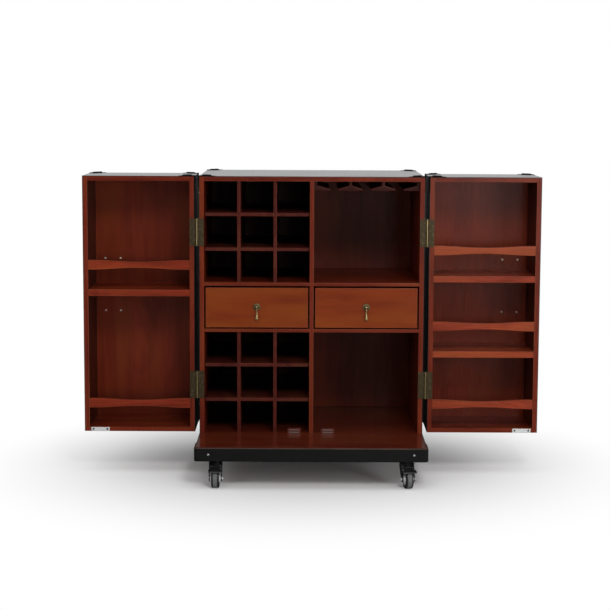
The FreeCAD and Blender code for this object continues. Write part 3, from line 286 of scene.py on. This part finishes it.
def wood(name, grain, tones, seed, figure=FIGURE, polish=PLAIN_POLISH, shade_bays=(), pore=1.0):
    """Stained wood with broad streaks, pores, a wavy figure, a slow drift towards yellow and painted shade
    in the given bays.
    """
    streaks, pores, waves = GRAIN[grain]
    shift = (seed * 0.37, seed * 0.83, seed * 0.59)
    gloss, level = polish

    def fill(shader):
        broad = shader.noise(shader.place(streaks, shift), 1.0, 5.0, 0.6, 0.35)
        fine = shader.noise(shader.place(pores, shift), 1.0, 3.0, 0.65)
        slow = shader.noise(shader.place(waves, shift), 1.0, 2.0, 0.5, 0.8)
        patch = shader.noise(shader.place((1, 1, 1), shift), 5.0, 2.0)
        drift = shader.noise(shader.place(waves, shift), 1.6, 2.0)
        rings = (slow * 85.0 + fine * 1.5).sine()
        tone = broad.between(0.3, 0.72) * 0.55 + fine.between(0.25, 0.75) * (0.25 * pore)
        tone = tone + patch * 0.3 + rings * figure + (0.075 - 0.125 * pore)
        colour = shader.blend(tone, *tones)
        dark = (1 - fine.between(0.3, 0.42)) * (0.35 * pore)
        colour = shader.blend(dark, colour, tones[0])
        red, green, blue = tones[1]
        colour = shader.blend(drift.between(0.46, 0.66) * 0.5, colour, (red, green * 1.5, blue))
        # Painted shade: the panel turns darker behind each guard rail, under the rail's shadow
        for low, high, share in shade_bays:
            rise = shader.level()
            under_rail = 1 - rise.between(high - BAY_UNDER, high + BAY_OVER)
            behind = rise.between(low - BAY_FOOT, low + BAY_FOOT) * under_rail
            colour = shader.blend(behind * share, colour, [part * BAY_SHADE_DARKNESS for part in tones[0]])
        height = fine * 0.6 + rings * 0.12
        return {
            "Base Color": colour,
            "Roughness": gloss + 0.1 * patch + (0.12 * pore) * fine - (0.02 + 0.06 * pore),
            "Normal": shader.bump(height, 0.16 * pore, 0.0004),
        }

    return finish(name, fill, Specular_IOR_Level=level)


# The edging round the base has a painted brown highlight along its top edge
BAND_TOP_HIGHLIGHT = (0.075, 0.036, 0.026)
BAND_HIGHLIGHT_FROM = CABINET_FLOOR - 0.0032
BAND_HIGHLIGHT_RUN = 0.0012


def leatherette(name, tone, gloss, pebble=950.0, lift=0.32, level=0.5, highlight_from=None):
    """Pebbled leatherette or leather, a little rubbed in places."""

    def fill(shader):
        where = shader.place()
        bent = shader.noise(where, 140.0, 3.0)
        pebbles = shader.cells(where, pebble, "SMOOTH_F1")
        creases = shader.cells(where, pebble * 0.36)
        rub = shader.noise(where, 7.0, 5.0).between(0.45, 0.75)
        shade = shader.blend(rub * 0.22, tone, [c * 1.7 + 0.002 for c in tone])
        shade = shader.blend(pebbles.between(0.1, 0.6) * 0.4, shade, [c * 0.55 for c in tone])
        # Painted highlight along the edging's top edge, uneven with the rubbed patches
        if highlight_from:
            tint_share = shader.level().between(highlight_from, highlight_from + BAND_HIGHLIGHT_RUN) * (0.55 + 0.6 * rub)
            shade = shader.blend(tint_share, shade, BAND_TOP_HIGHLIGHT)
        height = pebbles * -0.8 + creases * -0.3 + bent * 0.4
        return {
            "Base Color": shade,
            "Roughness": gloss + 0.12 * bent + 0.03 * rub - 0.075,
            "Normal": shader.bump(height, lift, 0.0003),
        }

    return finish(name, fill, Specular_IOR_Level=level)


def metal(name, tone, paler, gloss, shine, peel, spots, level=0.5, mottle=26.0):
    """Painted or plated metal, with brush marks, rubbed spots and a faint orange peel."""

    def fill(shader):
        where = shader.place()
        wide = shader.noise(where, mottle, 4.0, 0.6)
        small = shader.noise(where, 640.0, 3.0)
        marks = shader.noise(shader.place((60, 60, 900)), 1.0, 2.0)
        tint_share = wide.between(0.5, 0.78) * spots + small.between(0.55, 0.8) * 0.12
        return {
            "Base Color": shader.blend(tint_share, tone, paler),
            "Roughness": gloss + 0.16 * wide + 0.1 * marks - 0.1,
            "Normal": shader.bump(small * 0.6 + marks * 0.25, peel, 0.0002),
        }

    return finish(name, fill, Metallic=shine, Specular_IOR_Level=level)


# A wheel's tread is worn grey along its middle
WORN_TREAD = (0.11, 0.111, 0.113)
TREAD_RUN = (0.0042, 0.0064)


def across_wheel(turn):
    """The way a wheel's axle points."""
    return Vector((math.cos(turn), math.sin(turn), 0))


def along_axle(shader, axle, turn):
    """How far a spot of a wheel is from the wheel's middle, along its axle."""
    across = across_wheel(turn)
    dot = {"operation": "DOT_PRODUCT"}
    along = shader.node("ShaderNodeVectorMath", dot, {0: shader.place(), 1: across}, 1)
    out = along - axle.dot(across)
    return out.most(0 - out)


def moulded(name, tone, dusty, gloss, tread=None):
    """Moulded rubber or plastic, a little dusty."""

    def fill(shader):
        where = shader.place()
        wide = shader.noise(where, 34.0, 4.0)
        grain = shader.noise(where, 1500.0, 2.0)
        shade = shader.blend(wide.between(0.4, 0.75) * 0.5, tone, dusty)
        if tread:
            shade = shader.blend(along_axle(shader, *tread).between(*TREAD_RUN), WORN_TREAD, shade)
        return {
            "Base Color": shade,
            "Roughness": gloss + 0.18 * wide - 0.09,
            "Normal": shader.bump(grain, 0.12, 0.0002),
        }

    return finish(name, fill, Specular_IOR_Level=0.35)


ANTIQUE_BRASS = metal("antique_brass", (0.056, 0.039, 0.016), (0.2, 0.152, 0.078),
                      gloss=0.44, shine=0.65, peel=0.12, spots=0.8, mottle=190.0)
BRIGHT_BRASS = metal("bright_brass", (0.34, 0.25, 0.11), (0.5, 0.4, 0.21),
                     gloss=0.28, shine=0.75, peel=0.05, spots=0.5)
# Painted shade for the sides of the hinge knuckles
KNUCKLE_BRASS = metal("knuckle_brass", (0.036, 0.026, 0.012), (0.11, 0.082, 0.042),
                      gloss=0.46, shine=0.6, peel=0.1, spots=0.6, mottle=190.0)
BLACK_METAL = metal("black_metal", (0.009, 0.009, 0.0095), (0.024, 0.024, 0.025),
                    gloss=0.6, shine=0.0, peel=0.08, spots=0.4, level=0.0)
BLACK_ENAMEL = metal("black_enamel", (0.008, 0.008, 0.0085), (0.02, 0.02, 0.021),
                     gloss=0.42, shine=0.0, peel=0.06, spots=0.4, level=0.3)
BRIGHT_STEEL = metal("bright_steel", (0.6, 0.6, 0.59), (0.78, 0.78, 0.77),
                     gloss=0.24, shine=0.75, peel=0.04, spots=0.5)
PALE_STEEL = metal("pale_steel", (0.6, 0.61, 0.61), (0.7, 0.71, 0.71),
                   gloss=0.42, shine=0.2, peel=0.05, spots=0.5)
DARK_STEEL = metal("dark_steel", (0.1, 0.1, 0.1), (0.22, 0.22, 0.21),
                   gloss=0.38, shine=1.0, peel=0.06, spots=0.5)
COVERING = leatherette("black_covering", (0.0055, 0.0055, 0.0058), gloss=0.3, level=0.6)
STRAP = leatherette("strap_leather", (0.014, 0.0125, 0.012), gloss=0.46, pebble=620.0, lift=0.4)
BAND = leatherette("black_edging", (0.0068, 0.0064, 0.0062), gloss=0.5, pebble=1500.0, lift=0.14,
                   level=0.18, highlight_from=BAND_HIGHLIGHT_FROM)
RUBBER_TONES = ((0.012, 0.012, 0.0125), (0.035, 0.034, 0.033))
RUBBER = moulded("caster_rubber", *RUBBER_TONES, gloss=0.6)
PLASTIC = moulded("black_plastic", (0.011, 0.011, 0.0115), (0.026, 0.026, 0.026), gloss=0.42)
CASING = moulded("catch_casing", (0.085, 0.014, 0.008), (0.12, 0.023, 0.012), gloss=0.5)
POLE = metal("catch_pole", (0.2, 0.17, 0.155), (0.34, 0.3, 0.28),
             gloss=0.45, shine=0.3, peel=0.05, spots=0.5)
CAP_NUT = metal("cap_nut", (0.62, 0.55, 0.46), (0.78, 0.72, 0.64),
                gloss=0.3, shine=0.25, peel=0.04, spots=0.5)
# Painted highlight along the pedals' eased edges
PEDAL_EDGE_HIGHLIGHT = moulded("pedal_edge_highlight", (0.16, 0.16, 0.16), (0.3, 0.3, 0.29), gloss=0.4)
THREAD = moulded("strap_thread", (0.05, 0.045, 0.04), (0.09, 0.08, 0.07), gloss=0.7)


# Finishes of the frame's own pieces
def dress(name, *materials, round_edges=0.0, edge=None, angle=32, part=None):
    """Give a frame piece its finishes; part tells which of them a face gets."""
    item = NODES[name]
    mesh = item.data
    mesh.materials.clear()
    for material in materials:
        mesh.materials.append(material)
    for polygon in mesh.polygons:
        polygon.use_smooth = True
        polygon.material_index = part(Vector(polygon.center), Vector(polygon.normal)) if part else 0
    weld = item.modifiers.new("joined", "WELD")
    weld.merge_threshold = 0.00001
    if round_edges:
        bevel = item.modifiers.new("eased", "BEVEL")
        bevel.width = round_edges
        bevel.segments = 2
        bevel.limit_method = "ANGLE"
        bevel.angle_limit = math.radians(angle)
        bevel.use_clamp_overlap = True
        if edge:
            mesh.materials.append(edge)
            bevel.material = len(mesh.materials) - 1
    split = item.modifiers.new("crisp", "EDGE_SPLIT")
    split.split_angle = math.radians(angle)
    flat = item.modifiers.new("level", "WEIGHTED_NORMAL")
    flat.weight = 100


# A face looks along an axis if this much of its normal does, and lies on a box's outside within this gap
FACING = 0.9
OUTER_GAP = 0.0003


def box_faces(names):
    """Choose for the boards of one box: 1 for its outer faces, which are black under the covering."""
    corners = [Vector(corner) for name in names for corner in NODES[name].bound_box]
    low, high = [[pick(corner[axis] for corner in corners) for axis in range(3)] for pick in (min, max)]

    def choose(centre, normal):
        side = abs(normal.x) > FACING and min(centre.x - low[0], high[0] - centre.x) < OUTER_GAP
        back = normal.y > FACING and high[1] - centre.y < OUTER_GAP
        top = normal.z > FACING and high[2] - centre.z < OUTER_GAP
        return 1 if side or back or top else 0

    return choose


def with_inner_face(outer):
    """Choose for a door's free side: 2 for the face towards the cabinet, which takes painted shade, or else
    what outer says.
    """

    def choose(centre, normal):
        inner = normal.x * centre.x < -FACING * abs(centre.x)
        return 2 if inner else outer(centre, normal)

    return choose


def wave_figure(name):
    """How strongly the waves show on a piece."""
    if name == "back_board":
        return BACK_FIGURE
    return RAIL_FIGURE if name.endswith("guard_rails") else FIGURE


def dress_wood():
    plan = [
        ("base_board", "x", DEEP), ("left_side", "z", MAHOGANY), ("right_side", "z", MAHOGANY),
        ("top_board", "x", MAHOGANY), ("back_board", "z", BACKING), ("centre_partition", "z", MAHOGANY),
        ("drawer_boards", "x", MAHOGANY), ("drawer_guides", "y", MAHOGANY),
        ("upper_bottle_rack", "y", DUSKY), ("lower_bottle_rack", "y", DUSKY), ("glass_rails", "y", SHADED),
    ]
    boxes = [("left_side", "right_side", "top_board", "back_board")]
    for name in SIDES:
        door = f"{name}_door_"
        rail = LIT_RAIL if name == "right" else RAIL
        plan += [
            (door + "hinge_side", "z", MAHOGANY), (door + "free_side", "z", MAHOGANY),
            (door + "ends", "x", MAHOGANY), (door + "panel", "z", VENEER),
            (door + "shelves", "x", rail), (door + "guard_rails", "x", rail),
            (f"{name}_drawer_front", "x", DRAWER), (f"{name}_drawer_box", "y", VENEER),
        ]
        boxes.append([door + board for board in ("hinge_side", "free_side", "ends", "panel")])
    outside = {name: box_faces(box) for box in boxes for name in box}
    # Materials for eased edges: paler wood, both for wear and as a painted highlight
    edges, dim_edges = {}, {}
    for grain in GRAIN:
        edges[grain] = wood(f"eased_edge_{grain}", grain, EDGE_WEAR_AND_HIGHLIGHT, 3, EDGE_FIGURE, EDGE_POLISH)
        dim_edges[grain] = wood(f"dusky_edge_{grain}", grain, MAHOGANY, 4, EDGE_FIGURE, DIM_EDGE_POLISH)

    for seed, (name, grain, tones) in enumerate(plan, 1):
        figure = wave_figure(name)
        polish = BASE_POLISH if tones == DEEP else PLAIN_POLISH
        if name.startswith("right_door"):
            polish = RIGHT_DOOR_POLISH
        pore = VENEER_PORES if tones == VENEER else 1.0
        shade_bays = SHADED_TRAY_BAYS.get(name, ())
        materials = [wood(f"wood_{name}", grain, tones, seed, figure, polish, shade_bays, pore)]
        part = outside.get(name)
        if part:
            materials.append(COVERING)
        if name.endswith("free_side"):
            # The face towards the cabinet gets painted shade
            materials.append(wood(f"inner_{name}", grain, INNER_SHADE, seed, figure))
            part = with_inner_face(part)
        # A panel's edges lie hidden in the frame, so they stay sharp
        ease = 0.0 if name.endswith("panel") else EASED
        paler = dim_edges if tones in (DUSKY, SHADED, DEEP) else edges
        dress(name, *materials, round_edges=ease, edge=paler[grain], part=part)


def knuckle_part(centre, normal):
    """Choose for a hinge: 0 for its leaves, 1 for a painted highlight down its knuckles, 2 for painted
    shade on their sides.
    """
    off = abs(abs(centre.x) - HINGE_AXIS_X)
    if off > KNUCKLE or centre.y > RIM:
        return 0
    return 1 if off < KNUCKLE_HIGHLIGHT else 2


def catch_part(centre, normal):
    """Choose for a catch: 1 for the fronts of its two poles, 0 for the rest."""
    rise = centre.z - CABINET_FLOOR
    in_layer = any(low <= rise <= high for low, high in POLE_LAYERS)
    return 1 if in_layer and centre.y < POLE_FRONT else 0


def keeper_part(centre, normal):
    """Choose for a handle's keepers: 1 for the cap nuts inside the door, 0 for the rest."""
    return 1 if centre.y < CAP_NUT_BACK else 0


def dress_metal():
    hinge = (ANTIQUE_BRASS, BRIGHT_BRASS, KNUCKLE_BRASS)
    dress("base_edging", BAND, angle=25)
    dress("base_nails", BRIGHT_STEEL)
    dress("cabinet_covering", COVERING)
    dress("cabinet_corner_guards", BLACK_METAL, round_edges=0.0006)
    dress("cabinet_hinge_leaves", *hinge, round_edges=0.0002, part=knuckle_part)
    dress("magnetic_catches", CASING, POLE, part=catch_part)
    dress("caster_plates", DARK_STEEL)
    for name in SIDES:
        door = f"{name}_door_"
        dress(door + "covering", COVERING)
        dress(door + "corner_guards", BLACK_METAL, round_edges=0.0006)
        dress(door + "hinge_leaves", *hinge, round_edges=0.0002, part=knuckle_part)
        dress(door + "strike_plate", PALE_STEEL, round_edges=0.0001)
        dress(door + "handle_keepers", BLACK_METAL, CAP_NUT, round_edges=0.0003, part=keeper_part)
        dress(f"{name}_drawer_rosette", ANTIQUE_BRASS, round_edges=0.0001)
        dress(f"{name}_drawer_drop", BRIGHT_BRASS)


def from_axle(spot, axle, across):
    """How far a spot is out along an axle, and how far it is from the axle."""
    arm = spot - axle
    out = arm.dot(across)
    return abs(out), (arm - out * across).length


def dress_caster(name, axle, turn):
    across = across_wheel(turn)

    def fork_part(centre, normal):
        out, reach = from_axle(centre, axle, across)
        return 1 if out > FORK_FACE and reach < AXLE_CAP else 0

    def wheel_part(centre, normal):
        _, reach = from_axle(centre, axle, across)
        if reach < HUB:
            return 1
        return 2 if reach > TREAD_REACH else 0

    dress(f"{name}_fork", BLACK_ENAMEL, PALE_STEEL, round_edges=0.0003, part=fork_part)
    tread = moulded(f"{name}_tread", *RUBBER_TONES, gloss=0.58, tread=(axle, turn))
    dress(f"{name}_wheel", RUBBER, PALE_STEEL, tread, part=wheel_part)
    if name.startswith("front"):
        dress(f"{name}_pedal", PLASTIC, round_edges=0.0004, edge=PEDAL_EDGE_HIGHLIGHT)


def dress_casters():
    for end, pin in PIN_Y.items():
        for side_name, side in SIDES.items():
            name = f"{end}_{side_name}"
            turn = FRONT_RIGHT_TURN if name == "front_right" else 0.0
            x = side * CASTER_X + TRAIL * math.sin(turn)
            y = pin - TRAIL * math.cos(turn)
            dress_caster(name, Vector((x, y, AXLE_LEVEL)), turn)


# New pieces, each made as one mesh at its place
def piece(name, mesh, material, body, smooth=True):
    data = bpy.data.meshes.new(name)
    bmesh.ops.recalc_face_normals(mesh, faces=mesh.faces)
    mesh.to_mesh(data)
    mesh.free()
    for polygon in data.polygons:
        polygon.use_smooth = smooth
    item = bpy.data.objects.new(name, data)
    bpy.context.scene.collection.objects.link(item)
    data.materials.append(material)
    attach(item, body)
    return item


def joined(parts):
    """One mesh of several, which are used up."""
    whole = bmesh.new()
    for part in parts:
        data = bpy.data.meshes.new("part")
        part.to_mesh(data)
        part.free()
        whole.from_mesh(data)
        bpy.data.meshes.remove(data)
    return whole


def of_kind(kind, geometry):
    return [item for item in geometry if isinstance(item, kind)]


def crisp_edges(item):
    split = item.modifiers.new("crisp", "EDGE_SPLIT")
    split.split_angle = math.radians(40)


def slotted_head(spot, radius, tilt):
    """A low screw head that faces the front, with one slot."""
    head = bmesh.new()
    slot = radius * SLOT_SHARE
    bmesh.ops.create_circle(head, cap_ends=True, segments=HEAD_SEGMENTS, radius=radius)
    crown = of_kind(VERT, bmesh.ops.extrude_face_region(head, geom=list(head.faces))["geom"])
    bmesh.ops.translate(head, verts=crown, vec=(0, 0, HEAD_RISE))
    bmesh.ops.scale(head, verts=crown, vec=(HEAD_TAPER, HEAD_TAPER, 1))
    for edge in (slot, -slot):
        whole = [*head.verts, *head.edges, *head.faces]
        bmesh.ops.bisect_plane(head, geom=whole, plane_co=(0, edge, 0), plane_no=(0, 1, 0))
    strip = [face for face in head.faces
             if abs(face.calc_center_median().y) < slot / 2 and face.normal.z > FACING]
    sunk = of_kind(VERT, bmesh.ops.extrude_face_region(head, geom=strip)["geom"])
    bmesh.ops.delete(head, geom=strip, context="FACES_ONLY")
    bmesh.ops.translate(head, verts=sunk, vec=(0, 0, -SLOT_DEPTH))
    turn = Matrix.Rotation(math.pi / 2, 4, "X") @ Matrix.Rotation(tilt, 4, "Z")
    bmesh.ops.transform(head, matrix=Matrix.Translation(spot) @ turn, verts=head.verts)
    return head


def screw_heads(name, spots, radius, material, body):
    heads = [slotted_head(spot, radius, TILT_STEP * index + FIRST_TILT) for index, spot in enumerate(spots)]
    piece(name, joined(heads), material, body, smooth=False)


def make_screws():
    levels = [level + step * LEAF_SCREW_PITCH for level in HINGE_LEVELS for step in (-1, 0, 1)]
    spots = [(side * FIXED_SCREW_X, LEAF_FACE, level) for side in SIDES.values() for level in levels]
    screw_heads("fixed_leaf_screw_heads", spots, LEAF_SCREW, ANTIQUE_BRASS, "cabinet")
    for name, side in SIDES.items():
        door = f"{name}_door"
        spots = [(side * MOVING_SCREW_X, LEAF_FACE, level) for level in levels]
        screw_heads(f"{name}_leaf_screw_heads", spots, LEAF_SCREW, ANTIQUE_BRASS, door)
        places = [side * (STRIKE_X + step * STRIKE_SCREW_X) for step in (-1, 1)]
        spots = [(x, STRIKE_FACE, STRIKE_LEVEL) for x in places]
        screw_heads(f"{name}_strike_screw_heads", spots, STRIKE_SCREW, DARK_STEEL, door)


def guard_rib(corner_x, corner_y, inward_x, inward_y):
    """A rounded rib that lies across a corner, on top of its guard."""
    rib = bmesh.new()
    turn = Matrix.Rotation(math.pi / RIB_SEGMENTS, 4, "Z")
    outline = bmesh.ops.create_circle(rib, cap_ends=True, segments=RIB_SEGMENTS, radius=RIB_HALF,
                                      matrix=turn)["verts"]
    far_end = [vert for vert in outline if vert.co.x > 0]
    bmesh.ops.translate(rib, verts=far_end, vec=(2 * RIB_REACH, 0, 0))
    bmesh.ops.translate(rib, verts=outline, vec=(-RIB_REACH, 0, 0))
    crown = of_kind(VERT, bmesh.ops.extrude_face_region(rib, geom=list(rib.faces))["geom"])
    bmesh.ops.translate(rib, verts=crown, vec=(0, 0, RIB_RISE))
    rim = [edge for edge in rib.edges if edge.verts[0] in crown and edge.verts[1] in crown]
    bmesh.ops.bevel(rib, geom=rim, offset=RIB_ROUND, segments=4, profile=0.5, affect="EDGES", material=-1)
    spot = (corner_x + RIB_INSET * inward_x, corner_y + RIB_INSET * inward_y, GUARD_TOP)
    lean = Matrix.Rotation(-inward_x * inward_y * math.pi / 4, 4, "Z")
    bmesh.ops.transform(rib, matrix=Matrix.Translation(spot) @ lean, verts=rib.verts)
    return rib


def make_guard_ribs():
    """A pressed rib on top of each corner guard, which joins the two domes on the rear ones."""
    # Each corner's x and y, and which way is inward from it along x and along y
    corners = {"cabinet": []}
    for name, side in SIDES.items():
        corners["cabinet"] += [
            (side * CABINET_HALF, CABINET_BACK, -side, -1),
            (side * CABINET_HALF, RIM, -side, 1),
        ]
        corners[f"{name}_door"] = [
            (side * DOOR_IN, DOOR_BACK, side, -1),
            (side * DOOR_OUT, DOOR_BACK, -side, -1),
            (side * DOOR_IN, RIM, side, 1),
        ]
    for body, places in corners.items():
        mesh = joined([guard_rib(*place) for place in places])
        crisp_edges(piece(f"{body}_guard_ribs", mesh, BLACK_METAL, body))


def strap_route(distance):
    """A spot on the strap's outer face, by its way from the middle: out, along and slope."""
    way = abs(distance)
    sign = math.copysign(1, distance)
    sweep = STRAP_OVER + STRAP_THICK
    bend = STRAP_BEND - STRAP_THICK
    if way < sweep * STRAP_SLOPE:
        slope = way / sweep
        out = STRAP_RISE - STRAP_OVER + sweep * math.cos(slope)
        return out, sign * sweep * math.sin(slope), sign * slope
    slope = max(STRAP_SLOPE - (way - sweep * STRAP_SLOPE) / bend, 0)
    straight = max(way - (sweep + bend) * STRAP_SLOPE, 0)
    along = STRAP_SPAN - bend * math.sin(slope) + straight
    return STRAP_BEND - bend * math.cos(slope), sign * along, sign * slope


def strap_mesh(middle):
    """A strap grown from its lower end: straight, bent out, bowed over, bent back and straight."""
    mesh = bmesh.new()
    bmesh.ops.create_grid(mesh, x_segments=1, y_segments=1, size=0.5)
    bmesh.ops.scale(mesh, verts=mesh.verts, vec=(STRAP_WIDTH, STRAP_THICK, 1))
    bmesh.ops.bevel(mesh, geom=list(mesh.verts), offset=STRAP_ROUND, segments=4, profile=0.5,
                    affect="VERTICES", material=-1)
    lower_end = middle + Vector((0, STRAP_THICK / 2, -STRAP_END))
    bmesh.ops.translate(mesh, verts=mesh.verts, vec=lower_end)

    def straight(end):
        length = STRAP_END - STRAP_SPAN
        for _ in range(TAIL_STEPS):
            grown = bmesh.ops.extrude_face_region(mesh, geom=end)["geom"]
            bmesh.ops.translate(mesh, verts=of_kind(VERT, grown), vec=(0, 0, length / TAIL_STEPS))
            end = of_kind(FACE, grown)
        return end

    def round_about(end, out, along, angle, steps):
        rim = list({edge for face in end for edge in face.edges})
        points = list({vert for face in end for vert in face.verts})
        grown = bmesh.ops.spin(mesh, geom=end + rim + points, cent=middle + Vector((0, out, along)),
                               axis=(1, 0, 0), angle=angle, steps=steps)["geom_last"]
        return of_kind(FACE, grown)

    end = straight(list(mesh.faces))
    end = round_about(end, STRAP_BEND, -STRAP_SPAN, -STRAP_SLOPE, BEND_STEPS)
    end = round_about(end, STRAP_RISE - STRAP_OVER, 0, 2 * STRAP_SLOPE, BOW_STEPS)
    end = round_about(end, STRAP_BEND, STRAP_SPAN, -STRAP_SLOPE, BEND_STEPS)
    straight(end)
    return mesh


def stitch_mesh(middle):
    """Two rows of stitches along the bow of a strap."""
    seam = bmesh.new()
    reach = (STRAP_OVER + STRAP_BEND) * STRAP_SLOPE - STITCH_MARGIN
    count = int(2 * reach / STITCH_PITCH)
    for step in range(count + 1):
        out, along, slope = strap_route(-reach + step * 2 * reach / count)
        for across in (-1, 1):
            spot = middle + Vector((across * STITCH_ROW, out, along))
            shape = Matrix.Rotation(-slope, 4, "X") @ Matrix.Diagonal((*STITCH, 1))
            shape = Matrix.Translation(spot) @ shape
            bmesh.ops.create_icosphere(seam, subdivisions=1, radius=1, matrix=shape)
    return seam


def make_strap(name, side):
    """A leather strap, bent away from the door between its keepers, with two rows of stitches."""
    middle = Vector((side * HANDLE_X, DOOR_SKIN, HANDLE_LEVEL))
    strap = piece(f"{name}_strap", strap_mesh(middle), STRAP, f"{name}_door")
    crisp_edges(strap)
    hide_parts(f"{name}_door_handle")
    piece(f"{name}_strap_stitches", stitch_mesh(middle), THREAD, f"{name}_door")


def make_rosette_rings():
    """A beaded ring and a plain inner ring on each rosette."""
    for name, side in SIDES.items():
        mesh = bmesh.new()
        centre = Vector((side * PULL_X, DRAWER_FACE - ROSETTE_THICK, PULL_LEVEL))
        for index in range(BEADS):
            angle = index * math.tau / BEADS
            spot = centre + BEAD_RING * Vector((math.cos(angle), 0, math.sin(angle)))
            place = Matrix.Translation(spot)
            bmesh.ops.create_icosphere(mesh, subdivisions=1, radius=BEAD, matrix=place)
        place = Matrix.Translation(centre + Vector((WIRE_RING, -WIRE_PROUD, 0)))
        wire = bmesh.ops.create_circle(mesh, segments=10, radius=WIRE, matrix=place)["verts"]
        edges = list({edge for vert in wire for edge in vert.link_edges})
        bmesh.ops.spin(mesh, geom=edges + wire, cent=centre, axis=(0, 1, 0), angle=math.tau, steps=40,
                       use_merge=True)
        bmesh.ops.remove_doubles(mesh, verts=mesh.verts, dist=0.000005)
        piece(f"{name}_rosette_rings", mesh, BRIGHT_BRASS, f"{name}_drawer")


# Light, floor and camera
FLOOR_REACH = 14
FLOOR_TONES = ((0.86, 0.86, 0.86), (0.9, 0.9, 0.9))
FADE_STRETCH = (0.95, 1, 1)
FADE_FROM = 0.24
FADE_TO = 0.95

# What the object mirrors is bright behind it and over the floor, and dark towards the camera
BRIGHT_BEHIND = (-0.25, 0.35)
BRIGHT_ABOVE = (-0.06, 0.03)
DARKEST_MIRRORED = 0.02
PLAIN_LIGHT = 0.38
PLAIN_EXTRA_BEHIND = 0.02

# The camera was fitted to the edges of the photograph
CAMERA_SPOT = (-0.0228, -4.6017, 1.0217)
CAMERA_YAW = 0.0011
CAMERA_PITCH = 0.1226
CAMERA_ROLL = -0.0044
FOCAL_PIXELS = 1659.4
PHOTO_PIXELS = 610
SENSOR = 36


def make_floor():
    mesh = bmesh.new()
    bmesh.ops.create_grid(mesh, x_segments=2, y_segments=2, size=FLOOR_REACH)
    data = bpy.data.meshes.new("floor")
    mesh.to_mesh(data)
    mesh.free()
    floor = bpy.data.objects.new("floor", data)
    bpy.context.scene.collection.objects.link(floor)

    def fill(shader):
        drift = shader.noise(shader.place(), 0.6, 2.0)
        return {"Base Color": shader.blend(drift, *FLOOR_TONES)}

    def fade_to_white(shader, near):
        """Let the floor run out into the white background, as the camera sees it."""
        where = shader.place(FADE_STRETCH)
        away = shader.node("ShaderNodeVectorMath", {"operation": "LENGTH"}, {0: where}, 1)
        seen = shader.node("ShaderNodeLightPath")
        white = shader.node("ShaderNodeEmission")
        share = away.between(FADE_FROM, FADE_TO) * seen
        return shader.node("ShaderNodeMixShader", None, {0: share, 1: near, 2: white})

    data.materials.append(finish("pale_floor", fill, fade_to_white, Roughness=0.9, Specular_IOR_Level=0.1))
    floor.visible_glossy = False


def make_world():
    world = bpy.data.worlds.new("studio")
    bpy.context.scene.world = world
    shader = Shader(world)
    path = shader.node("ShaderNodeLightPath")
    rays = path.socket.node.outputs
    seen = Value(shader, rays["Is Camera Ray"]).most(Value(shader, rays["Is Transmission Ray"]))
    glossy = Value(shader, rays["Is Glossy Ray"])
    where = shader.node("ShaderNodeTexCoord", output=0)
    axes = shader.node("ShaderNodeSeparateXYZ", None, {0: where}).socket.node.outputs
    behind = Value(shader, axes[1]).between(*BRIGHT_BEHIND)
    above = Value(shader, axes[2]).between(*BRIGHT_ABOVE)
    mirrored = DARKEST_MIRRORED + (1 - DARKEST_MIRRORED) * behind * above
    plain = PLAIN_LIGHT + PLAIN_EXTRA_BEHIND * behind
    level = plain + (mirrored - plain) * glossy
    level = level + (1.0 - level) * seen
    light = shader.node("ShaderNodeBackground", None, {0: (1, 1, 1, 1), 1: level})
    shader.node("ShaderNodeOutputWorld", None, {0: light})


def make_lamp(name, spot, target, size, watts):
    lamp = bpy.data.lights.new(name, "AREA")
    lamp.shape = "RECTANGLE"
    lamp.size, lamp.size_y = size
    lamp.energy = watts
    item = bpy.data.objects.new(name, lamp)
    item.location = spot
    item.rotation_euler = (Vector(target) - Vector(spot)).to_track_quat("-Z", "Y").to_euler()
    bpy.context.scene.collection.objects.link(item)


def make_lamps():
    middle = (0, 0, 0.45)
    make_lamp("front_light", (0.655, -3.081, 2.575), middle, size=(0.8, 0.8), watts=44)
    make_lamp("left_low_light", (-2.048, -2.925, 1.75), middle, size=(0.9, 0.9), watts=13)
    make_lamp("right_low_light", (2.168, -3.096, 0.847), middle, size=(0.9, 0.9), watts=27)
    make_lamp("right_door_light", (1.9, -1.3, 0.8), (0.45, 0, 0.5), size=(0.6, 0.8), watts=5)
    make_lamp("sheen_light", (0.95, -4.7, 0.82), (0.47, 0, 0.6), size=(0.6, 0.7), watts=6)
    make_lamp("overhead_light", (0, -0.9, 3.7), (0, -0.5, 0), size=(3.0, 1.6), watts=22)


def make_camera():
    level = math.cos(CAMERA_PITCH)
    ahead = Vector((math.sin(CAMERA_YAW) * level, math.cos(CAMERA_YAW) * level, -math.sin(CAMERA_PITCH)))
    across = Vector((math.cos(CAMERA_YAW), -math.sin(CAMERA_YAW), 0))
    down = ahead.cross(across)
    right = math.cos(CAMERA_ROLL) * across + math.sin(CAMERA_ROLL) * down
    up = math.sin(CAMERA_ROLL) * across - math.cos(CAMERA_ROLL) * down
    camera = bpy.data.cameras.new("camera")
    camera.sensor_width = SENSOR
    camera.lens = FOCAL_PIXELS / PHOTO_PIXELS * SENSOR
    item = bpy.data.objects.new("camera", camera)
    turn = Matrix((right, up, -ahead)).transposed()
    item.matrix_world = Matrix.Translation(CAMERA_SPOT) @ turn.to_4x4()
    bpy.context.scene.collection.objects.link(item)
    bpy.context.scene.camera = item


dress_wood()
dress_metal()
dress_casters()
make_screws()
make_guard_ribs()
make_rosette_rings()
for door, side in SIDES.items():
    make_strap(door, side)
make_floor()
make_world()
make_lamps()
make_camera()
bpy.context.scene.view_settings.view_transform = "Standard"
